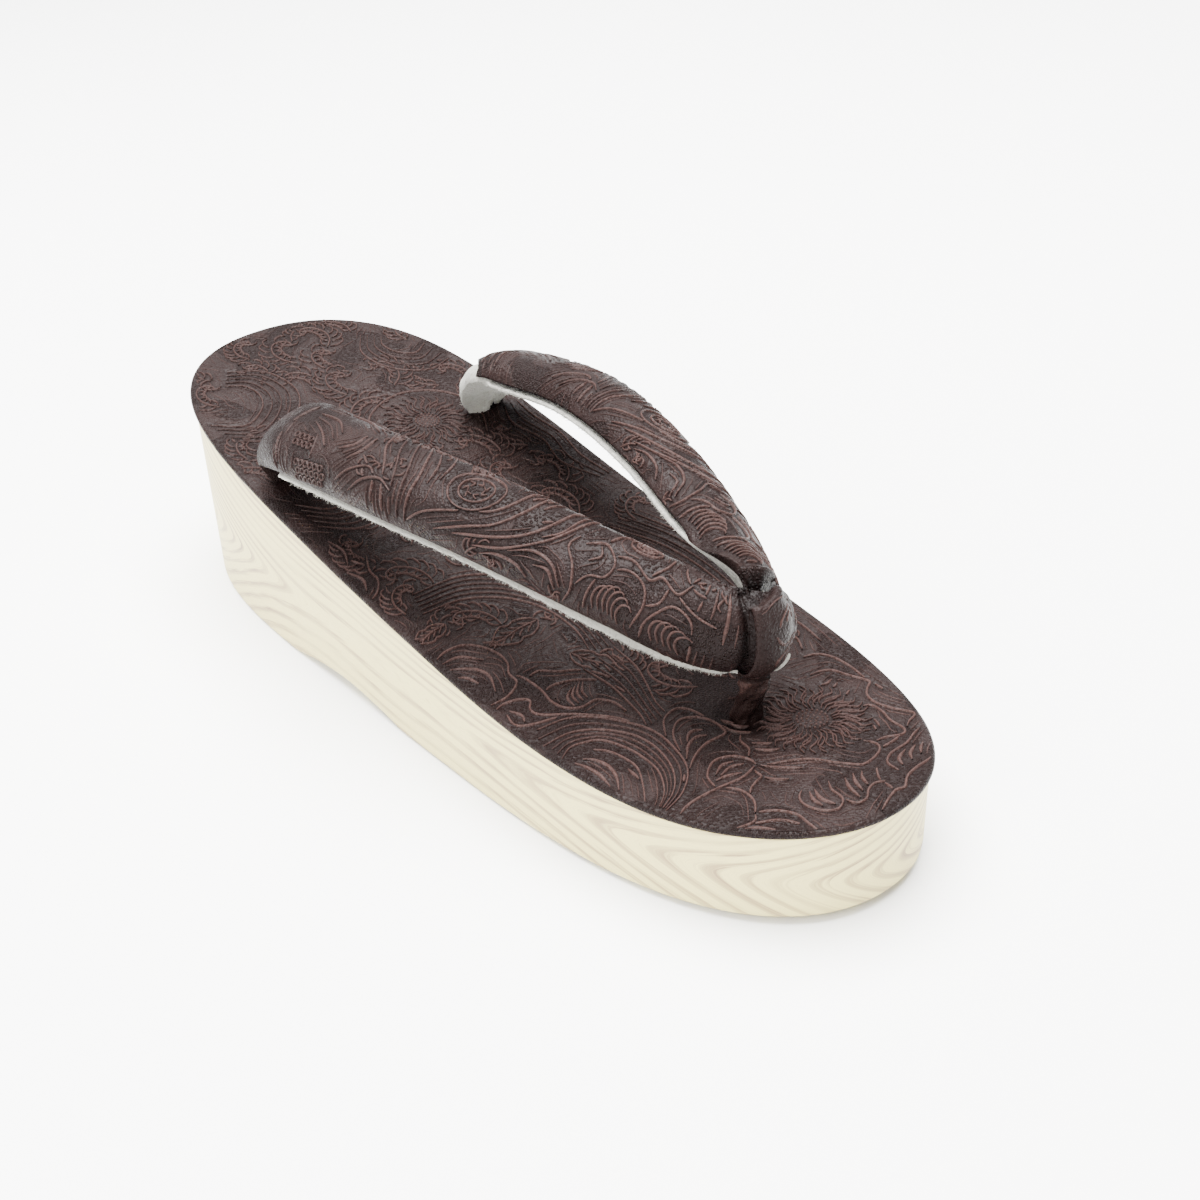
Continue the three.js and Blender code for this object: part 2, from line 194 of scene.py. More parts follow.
STRAP = strap_table()
STRAP_LENGTH = STRAP["from_nose"][-1]


def strap_column(name, from_nose):
    return smooth(STRAP["from_nose"], STRAP[name], from_nose)


def strap_centre(from_nose, right):
    y = strap_column("y", from_nose)
    if right:
        y = y - strap_column("forward", from_nose)
    height = top_at(y) + strap_column("rise", from_nose)
    return np.stack([strap_column("x", from_nose), y, height], -1)


def unit(vectors):
    return vectors / np.linalg.norm(vectors, axis=-1, keepdims=True)


def strap_frame(from_nose, right):
    """The way to a section's outer edge, and the way to its crown."""
    run = unit(strap_centre(from_nose - 0.5, right) - strap_centre(from_nose + 0.5, right))
    heading = np.radians(strap_column("heading", from_nose))
    tilt = np.radians(strap_column("tilt", from_nose))
    side = np.stack(
        [np.sin(heading) * np.cos(tilt), -np.cos(heading) * np.cos(tilt), -np.sin(tilt)], -1
    )
    side = unit(side - run * np.sum(side * run, -1, keepdims=True))
    return side, np.cross(side, run)


def strap_place(from_nose, wide, high, right):
    """A point of a strap's section: wide towards its outer edge, high towards its crown."""
    from_nose = np.asarray(from_nose, float)
    side, out = strap_frame(from_nose, right)
    place = strap_centre(from_nose, right)
    place = place + side * np.asarray(wide)[..., None] + out * np.asarray(high)[..., None]
    if right:
        place[..., 0] *= -1
    return place


def strap_profile(from_nose, turn, grow=0.0):
    """(wide, high) of the section's outline: turn 0 is the outer edge and pi / 2 the crown."""
    across, up = np.cos(turn), np.sin(turn)
    half = strap_column("half", from_nose) + grow
    crown = strap_column("thick", from_nose) + grow
    wide = half * np.sign(across) * np.abs(across) ** SECTION_ROUND[0]
    high = np.where(
        up > 0, crown * np.maximum(up, 0) ** SECTION_ROUND[1], (BELLY + grow) * up
    )
    return wide, high


class StrapChart:
    """Chart of a strap's leather: (mm from the nose, mm over the crown from the outer edge)."""

    def __init__(self, right):
        self.right = right
        self.stops = np.arange(0, STRAP_LENGTH + 1, 1.0)
        self.turns = np.linspace(0, math.pi, 61)
        stops, turns = np.meshgrid(self.stops, self.turns, indexing="ij")
        wide, high = strap_profile(stops, turns)
        steps = np.hypot(np.diff(wide, axis=1), np.diff(high, axis=1))
        self.over = np.concatenate([np.zeros((len(self.stops), 1)), np.cumsum(steps, 1)], 1)

    def look_up(self, from_nose, values, find):
        """find(value, arcs) at each place, where arcs are the lengths over the section there."""
        found = np.empty(len(from_nose))
        stops = np.clip(from_nose, 0, len(self.stops) - 1.001)
        for i, (stop, value) in enumerate(zip(stops, values)):
            low = int(stop)
            part = stop - low
            found[i] = find(value, self.over[low] * (1 - part) + self.over[low + 1] * part)
        return found

    def turn_at(self, from_nose, over):
        return self.look_up(from_nose, over, lambda mm, arcs: np.interp(mm, arcs, self.turns))

    def over_at(self, from_nose, turn):
        return self.look_up(from_nose, turn, lambda angle, arcs: np.interp(angle, self.turns, arcs))

    def place(self, chart, grow):
        """Points over the chart's places, each raised by its grow, in millimetres."""
        from_nose, over = chart[:, 0], chart[:, 1]
        return leather_place(from_nose, self.turn_at(from_nose, over), grow, self.right)

    def wear(self, chart):
        """How much of the rub is left: the ridges show less towards the root."""
        return np.interp(chart[:, 0], (10, 60, 130), (1, 0.9, 0.5))


class FootbedChart:
    """Chart of the footbed's top: (x, y) in millimetres, seen from above."""

    def place(self, chart, grow):
        x, y = chart[:, 0], chart[:, 1]
        return np.stack([x, y, crown_at(x, y) + grow], 1)

    def wear(self, chart):
        """How much of the rub is left: the ridges show less towards the heel."""
        return np.interp(chart[:, 1], (0, 70), (1, 0.55))


# ------------------------------------------------------------------ where the leather ends
# turn round the nose in degrees, the toe band's reach to the left and to the right, thickness
BAND_SECTIONS = np.array(
    [
        (0, 2.4, 3.3, 1.5),
        (30, 1.9, 6.4, 1.5),
        (60, 1.5, 8.6, 1.5),
        (90, 1.3, 7.2, 1.5),
        (120, 1.4, 4.8, 1.4),
        (150, 1.8, 3.4, 1.2),
        (165, 2.0, 3.2, 1.0),
        (180, 2.0, 2.8, 0.8),
        (210, 1.4, 1.6, 0.7),
        (240, 1.2, 1.2, 0.7),
        (300, 1.4, 1.4, 0.9),
        (330, 2.0, 2.2, 1.3),
        (360, 2.6, 3.3, 1.5),
    ]
)


def band_reach(turn, right):
    """How far the toe band covers a strap from the nose's middle, at a turn round the section."""
    return smooth(BAND_SECTIONS[:, 0], BAND_SECTIONS[:, 2 if right else 1], np.degrees(turn))


def nose_groove(from_nose, turn, right):
    """The slot in a strap's leather beside the toe band: (height, shade)."""
    past = from_nose - band_reach(np.clip(turn, 0, math.pi), right)
    gape = np.clip((2.6 - turn) / 1.2, 0, 1)
    depth, middle, wide = (3.4, 1.1 + 0.9 * gape, 1.1 + 0.9 * gape) if right else (1.6, 0.5, 0.8)
    slot = np.exp(-(((past - middle) / wide) ** 2))
    pit = np.exp(-((from_nose / 4.5) ** 4)) * np.clip((turn - 2.4) / 0.2, 0, 1)
    lip = np.exp(-(((past - middle - 2.2) / 1.1) ** 2))
    return -depth * np.maximum(slot, 0.6 * pit) + (0.7 if right else 0.15) * lip, np.maximum(slot, pit)


def strap_trim(from_nose):
    """How far the leather's outer edge is drawn in near the nose, in millimetres."""
    return 0.9 * np.exp(-(((from_nose - 10) / 16) ** 2)) * (from_nose > -1)


def strap_gain(from_nose, right):
    """How far the leather's inner edge reaches past its section near the nose, in millimetres."""
    return (2.6 if right else 0.6) * np.exp(-(((from_nose - 12) / 9) ** 2))


def drawn(wide, from_nose, right):
    """A place across a section, moved as the leather's edges are near the nose."""
    part = wide / strap_column("half", from_nose)
    outer, inner = np.clip(part, 0, 1), np.clip(-part, 0, 1)
    return wide - strap_trim(from_nose) * outer - strap_gain(from_nose, right) * inner


def leather_place(from_nose, turn, grow, right):
    """A point on a strap's leather, at a turn round its section."""
    wide, high = strap_profile(from_nose, turn, grow)
    return strap_place(from_nose, drawn(wide, from_nose, right), high, right)


def strap_end(over, right):
    """Where a strap's leather ends at its root; the right one leaves its felt bare."""
    if not right:
        return np.full(np.shape(over), STRAP_LENGTH - 4)
    return np.interp(over, (6, 13, 28), (STRAP_LENGTH - 4, 141, 130))


# ------------------------------------------------------------------ tooled scrolls
def spline(points, step=0.8):
    """A smooth line through a few points, as evenly spaced places."""
    points = np.asarray(points, float)
    padded = np.vstack([2 * points[0] - points[1], points, 2 * points[-1] - points[-2]])
    pieces = []
    for a, b, c, d in zip(padded, padded[1:], padded[2:], padded[3:]):
        count = max(2, int(np.linalg.norm(c - b) / step) + 1)
        t = np.linspace(0, 1, count, endpoint=False)[:, None]
        pieces.append(
            0.5
            * (
                2 * b
                + (c - a) * t
                + (2 * a - 5 * b + 4 * c - d) * t**2
                + (3 * b - a - 3 * c + d) * t**3
            )
        )
    return np.vstack([*pieces, points[-1:]])


def turned(points, x, y, degrees, scale=1.0):
    """A motif's points turned, scaled and moved to their place on the chart."""
    angle = math.radians(degrees)
    turn = np.array([[math.cos(angle), math.sin(angle)], [-math.sin(angle), math.cos(angle)]])
    return np.asarray(points, float) @ turn * scale + (x, y)


CLEAR = 0.5  # least distance between two tooled lines
CELL = 1.5  # size of the squares in which tooled places are looked up
TRAIL_STEP = 0.7  # between the places of an echoing stroke


def inside(polygon, places):
    """Whether each place lies in a closed outline."""
    x, y = places[:, :1], places[:, 1:]
    ax, ay = polygon[:, 0], polygon[:, 1]
    bx, by = np.roll(ax, -1), np.roll(ay, -1)
    crosses = (ay > y) != (by > y)
    at = ax + (y - ay) * (bx - ax) / np.where(by == ay, 1e-9, by - ay)
    return np.sum(crosses & (x < at), axis=1) % 2 == 1


class Tooling:
    """Everything tooled on one chart. A line is (places, width, taper, rub), a bead (x, y, radius).

    room says which places of the chart are leather. A line that meets an earlier one, or runs into
    an earlier motif, is cut there.
    """

    def __init__(self, room):
        self.room = room
        self.lines = []
        self.main = []  # the lines before the echoes
        self.beads = []
        self.islands = []
        self.taken = {}
        self.motif = 0

    def squares(self, place):
        column, row = int(place[0] // CELL), int(place[1] // CELL)
        for x in (column - 1, column, column + 1):
            for y in (row - 1, row, row + 1):
                yield from self.taken.get((x, y), ())

    def free(self, place, clear, motif=0):
        for x, y, owner in self.squares(place):
            if owner != motif and (x - place[0]) ** 2 + (y - place[1]) ** 2 < clear**2:
                return False
        return True

    def take(self, places, owner):
        for x, y in places:
            self.taken.setdefault((int(x // CELL), int(y // CELL)), []).append((x, y, owner))

    def add(self, places, width, taper, rub, motif=None):
        """Adds the stretches of a line that lie on leather and clear of what is already there."""
        motif = motif or self.new_motif()
        open_here = self.room(places)
        for island in self.islands:
            open_here &= ~inside(island, places)
        kept = [ok and self.free(spot, CLEAR, motif) for ok, spot in zip(open_here, places)]
        start = 0
        while start < len(places):
            if not kept[start]:
                start += 1
                continue
            stop = start
            while stop < len(places) and kept[stop]:
                stop += 1
            if stop - start > 3:
                self.lines.append((places[start:stop], width, taper, rub))
            start = stop
        self.take(places[np.array(kept, bool)], motif)

    def line(self, points, width=0.4, taper=0.12, rub=1.0, motif=None):
        self.add(spline(points), width, taper, rub, motif)

    def stroke(self, points, width=0.6, rub=0.9, motif=None):
        """A comma-shaped cut, thick in its middle and thin at both ends."""
        self.add(spline(points, 0.55), width, 0.5, rub, motif)

    def island(self, outline):
        """Closes an outline to every later line."""
        self.islands.append(spline(outline, 1.0))

    def new_motif(self):
        self.motif += 1
        return self.motif

    def echo(self, spacing, longest, seed, quiet):
        """Fills what is left with fine strokes that run beside the nearest line.

        Where quiet is true the ground stays bare, for stippling.
        """
        self.main[:] = self.lines
        dots = np.vstack([places for places, *_ in self.lines])
        ways = np.vstack([unit(np.gradient(places, axis=0)) for places, *_ in self.lines])
        tree = tree_of(dots)
        low, high = dots.min(0) - 3, dots.max(0) + 3
        random = np.random.default_rng(seed)
        seeds = random.uniform(low, high, (int(np.prod(high - low) / spacing**2 * 1.5), 2))
        seeds = seeds[self.room(seeds) & ~quiet(seeds)]
        for island in self.islands:
            seeds = seeds[~inside(island, seeds)]
        for seed_place in seeds:
            if not self.free(seed_place, spacing):
                continue
            halves = []
            for sign in (1, -1):
                place, way, trail = seed_place, None, []
                for _ in range(int(longest / 2 / TRAIL_STEP)):
                    near = tree.find((place[0], place[1], 0))[1]
                    turn = ways[near]
                    if way is None:
                        way = turn * sign
                    way = unit(way * 0.6 + turn * np.sign(turn @ way) * 0.4)
                    place = place + way * TRAIL_STEP
                    if not self.free(place, spacing * 0.8) or not self.room(place[None])[0]:
                        break
                    trail.append(place)
                halves.append(trail)
            places = np.array([*halves[1][::-1], seed_place, *halves[0]])
            if len(places) > 5:
                self.take(places, self.new_motif())
                self.lines.append((places, 0.3, 0.5, random.uniform(0.2, 0.75)))

    def cut(self, rows):
        """Makes every row of a table of cuts."""
        for kind, *row in rows:
            if kind in ("line", "stroke"):
                width, *points = row
                getattr(self, kind)(points, width)
            else:
                getattr(self, kind)(*row)

    def row(self, count, width, steps, *points):
        """Strokes side by side: each is the last one with its points moved by a step."""
        for k in range(count):
            self.stroke(np.array(points) + k * np.array(steps), width)

    def arcs(self, x, y, radii):
        """Nested open rings."""
        angles = np.radians(np.linspace(-50, 190, 7))
        for radius in radii:
            self.line(np.stack([x + radius * np.cos(angles), y + radius * np.sin(angles)], 1))

    def fan(self, count, width, first, last):
        """Lines that run from one long curve to another, with both of those."""
        first, last = np.asarray(first, float), np.asarray(last, float)
        motif = self.new_motif()
        for k in range(count):
            part = k / (count - 1)
            edge = k in (0, count - 1)
            points = first * (1 - part) + last * part
            self.line(points, width * (1.2 if edge else 0.9), 0.3, 1.0 if edge else 0.6, motif)

    def comb(self, x, y, degrees, count, long=6.0, step=1.25):
        """A row of long hooked commas, nested like the teeth of a comb."""
        motif = self.new_motif()
        for k in range(count):
            reach = long * (1 - 0.05 * abs(k - count / 2))
            tooth = [(0, 0), (0.9, 0.42 * reach), (0.5, 0.82 * reach), (-0.9, reach)]
            tooth.append((-1.9, 0.9 * reach))
            shift = (k * step, 0.12 * k * (count - 1 - k))
            self.stroke(turned(np.array(tooth) + shift, x, y, degrees), 0.62, motif=motif)

    def leaf(self, x, y, degrees, scale=1.0, veins=4):
        """A pointed leaf with a wavy edge, a midrib and curved veins."""
        motif = self.new_motif()
        whole = []
        for side in (-1, 1):
            edge = [
                (0, 0), (1.6, 1.4), (2.4, 3.6), (2.0, 5.0), (2.6, 6.4),
                (1.6, 8.4), (0.5, 9.8), (0, 11.4),
            ]
            flank = [(side * wide, high) for wide, high in edge]
            whole += flank[::side]
            self.line(turned(flank, x, y, degrees, scale), 0.4, motif=motif)
            for k in range(veins):
                foot = 1.6 + 1.9 * k
                vein = [(0.2 * side, foot), (side * 0.9, foot + 1.3), (side * 1.5, foot + 1.9)]
                self.stroke(turned(vein, x, y, degrees, scale), 0.42, motif=motif)
        rib = [(0, 0.4), (0.25, 4.0), (-0.15, 7.5), (0, 10.4)]
        self.line(turned(rib, x, y, degrees, scale), 0.36, motif=motif)
        self.island(turned(whole, x, y, degrees, scale))

    def plume(self, x, y, degrees, scale=1.0, mirrored=False, strokes=7):
        """A curled spine with comma strokes along both sides, as on an acanthus leaf."""
        hand = -1 if mirrored else 1
        spine = np.array(
            [(0, 0), (1.4, 4), (0.9, 8), (-1.6, 10.8), (-4.2, 10.6), (-5.0, 8.6), (-3.9, 7.4)]
        )
        run = spline(spine, 0.5)
        motif = self.new_motif()
        self.line(turned(spine * (hand, 1), x, y, degrees, scale), 0.5, motif=motif)
        for k in range(strokes):
            part = (k + 0.6) / strokes
            root = run[int(part * 0.74 * len(run))]
            way = unit(run[int(part * 0.74 * len(run)) + 2] - root)
            out = np.array([way[1], -way[0]])
            for side, reach in ((1, 3.6 - 1.2 * part), (-1, 2.2 + 1.2 * part)):
                start = root + out * side * 0.55
                comma = [
                    start,
                    start + out * side * 0.45 * reach + way * 0.25 * reach,
                    start + out * side * 0.72 * reach + way * 0.95 * reach,
                    start + out * side * 0.45 * reach + way * 1.35 * reach,
                ]
                self.stroke(turned(np.array(comma) * (hand, 1), x, y, degrees, scale), 0.5, motif=motif)

    def medallion(self, x, y, degrees, long, wide):
        """An oval cell with a ring of little curls in it."""
        turns = np.linspace(0, 2 * math.pi, 13)
        motif = self.new_motif()
        for size in (1.0, 0.62):
            oval = np.stack([long * size * np.cos(turns), wide * size * np.sin(turns)], 1)
            self.line(turned(oval, x, y, degrees), 0.42, 0, motif=motif)
        for k in range(7):
            turn = 2 * math.pi * k / 7
            middle = np.array([long * 0.36 * math.cos(turn), wide * 0.36 * math.sin(turn)])
            angles = (turn, turn + 2, turn + 4)
            curl = [middle + 0.75 * np.array([math.cos(a), math.sin(a)]) for a in angles]
            self.stroke(turned(curl, x, y, degrees), 0.4, motif=motif)
        edge = np.stack([long * np.cos(turns), wide * np.sin(turns)], 1)
        self.island(turned(edge, x, y, degrees))

    def sunflower(self, x, y, radius, rays):
        """Wavy rays around a pebbled middle."""
        motif = self.new_motif()
        for k in range(rays):
            turn = 2 * math.pi * k / rays
            start, end = (0.36, 0.96) if k % 2 else (0.5, 1.08)
            radii = np.linspace(start, end, 5) * radius
            waves = turn + 0.10 * np.sin(np.linspace(0, 2 * math.pi, 5)) + 0.05 * (k % 3)
            ray = np.stack([radii * np.cos(waves), radii * np.sin(waves)], 1) + (x, y)
            self.stroke(ray, 0.34, 0.7, motif)
        rings = (0, 0.1, 0.19, 0.28)
        for ring, part in enumerate(rings):
            count = max(1, round(ring * 6.3))
            for k in range(count):
                turn = 2 * math.pi * (k + 0.5 * (ring % 2)) / count
                place = (x + radius * part * math.cos(turn), y + radius * part * math.sin(turn))
                self.beads.append((*place, 0.42))
        turns = np.linspace(0, 2 * math.pi, 25)
        self.island(np.stack([x + radius * np.cos(turns), y + radius * np.sin(turns)], 1))

    def berries(self, x, y, degrees, columns, rows):
        """A cluster of little rings, in staggered rows."""
        turns = np.linspace(0, 2 * math.pi, 7)
        motif = self.new_motif()
        for row in range(rows):
            for column in range(columns):
                spot = ((column + 0.5 * (row % 2)) * 2.0, row * 1.8)
                ring = np.stack([0.75 * np.cos(turns), 0.75 * np.sin(turns)], 1) + spot
                self.line(turned(ring, x, y, degrees), 0.3, 0, 0.8, motif)


def quiet_ground(places):
    """Patches of bare, stippled ground on a chart."""
    found = [noise.noise(Vector((x / 11, y / 11, 3.7))) for x, y in places]
    return np.array(found) > 0.12


EDGE_CLEAR = 1.15  # plain leather along the footbed's edge
HOLE_CLEAR = 4.2  # and around the middle of the thong's hole


def footbed_room(places):
    x, y = places[:, 0], places[:, 1]
    hole = np.hypot(x - THONG_FOOT[0], y - THONG_FOOT[1])
    inside_edge = (np.abs(x) < half_width_at(y) - EDGE_CLEAR) & (np.abs(y) < LENGTH / 2 - 1.6)
    return inside_edge & (hole > HOLE_CLEAR)


# x, y, the way the plume points in degrees, scale, whether it curls to the other side
FOOTBED_PLUMES = (
    (-20, -20, 20, 1.0, False), (-33, -16, -40, 0.9, True), (-8, -50, -20, 0.9, False),
    (0, -62, 30, 1.1, True), (8, -66, -25, 1.0, False), (14, -62, 60, 0.9, True),
    (0, -48, 10, 1.0, True), (27, -62, -10, 0.8, False), (-2, -30, 25, 1.0, False),
    (6, -24, -30, 0.9, True), (16, -10, 15, 1.1, False), (30, -6, -20, 0.9, True),
    (-24, 0, 10, 1.1, False), (-35, -4, -15, 0.9, True), (-14, 2, -35, 1.1, True),
    (-6, 6, 20, 1.1, False), (8, 6, 40, 1.2, True), (20, 4, -15, 1.1, False),
    (-30, 14, 30, 1.0, True), (-20, 16, -15, 1.2, False), (-10, 20, 45, 1.1, True),
    (14, 18, 10, 1.2, True), (25, 16, -30, 1.1, False), (-2, 36, -20, 1.2, False),
    (8, 34, 35, 1.1, True), (18, 32, -5, 1.2, False), (27, 34, 30, 0.9, True),
    (-26, 46, -10, 0.9, True), (-32, 54, 20, 1.0, False), (-24, 58, 35, 1.1, True),
    (-12, 58, -15, 1.2, False), (-4, 66, -50, 1.1, True), (30, 54, -5, 1.1, True),
    (-34, 66, -15, 0.9, True), (-20, 66, 10, 1.0, False), (4, 74, 20, 1.2, True),
    (14, 74, -30, 1.1, False), (24, 68, 30, 1.0, True), (33, 66, 0, 0.9, False),
    (-4, 80, -10, 1.2, False), (8, 86, 25, 1.2, True), (-28, 90, 10, 1.0, True),
    (-14, 92, -30, 1.0, False), (0, 96, 15, 1.2, True), (10, 100, -20, 1.1, False),
    (30, 92, -15, 1.0, True), (-24, 102, 35, 0.9, False), (-10, 106, 0, 0.9, True),
    (20, 104, 10, 0.9, False), (4, 108, -45, 0.8, True),
)


# The outlines of the swirl at the left of the ball of the foot, from outside in
SWIRL_OUTER = (
    (-33, -89.5), (-25.5, -87), (-19.5, -81.5), (-17, -73.5), (-17, -67), (-19.5, -61.5), (-23, -56.5),
    (-28, -53), (-35, -52),
)
SWIRL_SECOND = (
    (-33.5, -89), (-26.5, -85.5), (-22, -80), (-20, -73), (-20.5, -67), (-23, -62.5), (-26.5, -59),
    (-31, -57), (-38, -57),
)
SWIRL_THIRD = (
    (-33.5, -88.5), (-28, -84.5), (-24.5, -78.5), (-24, -72), (-25, -67), (-27, -63), (-30, -61.5),
    (-33.5, -61), (-38, -63.5),
)

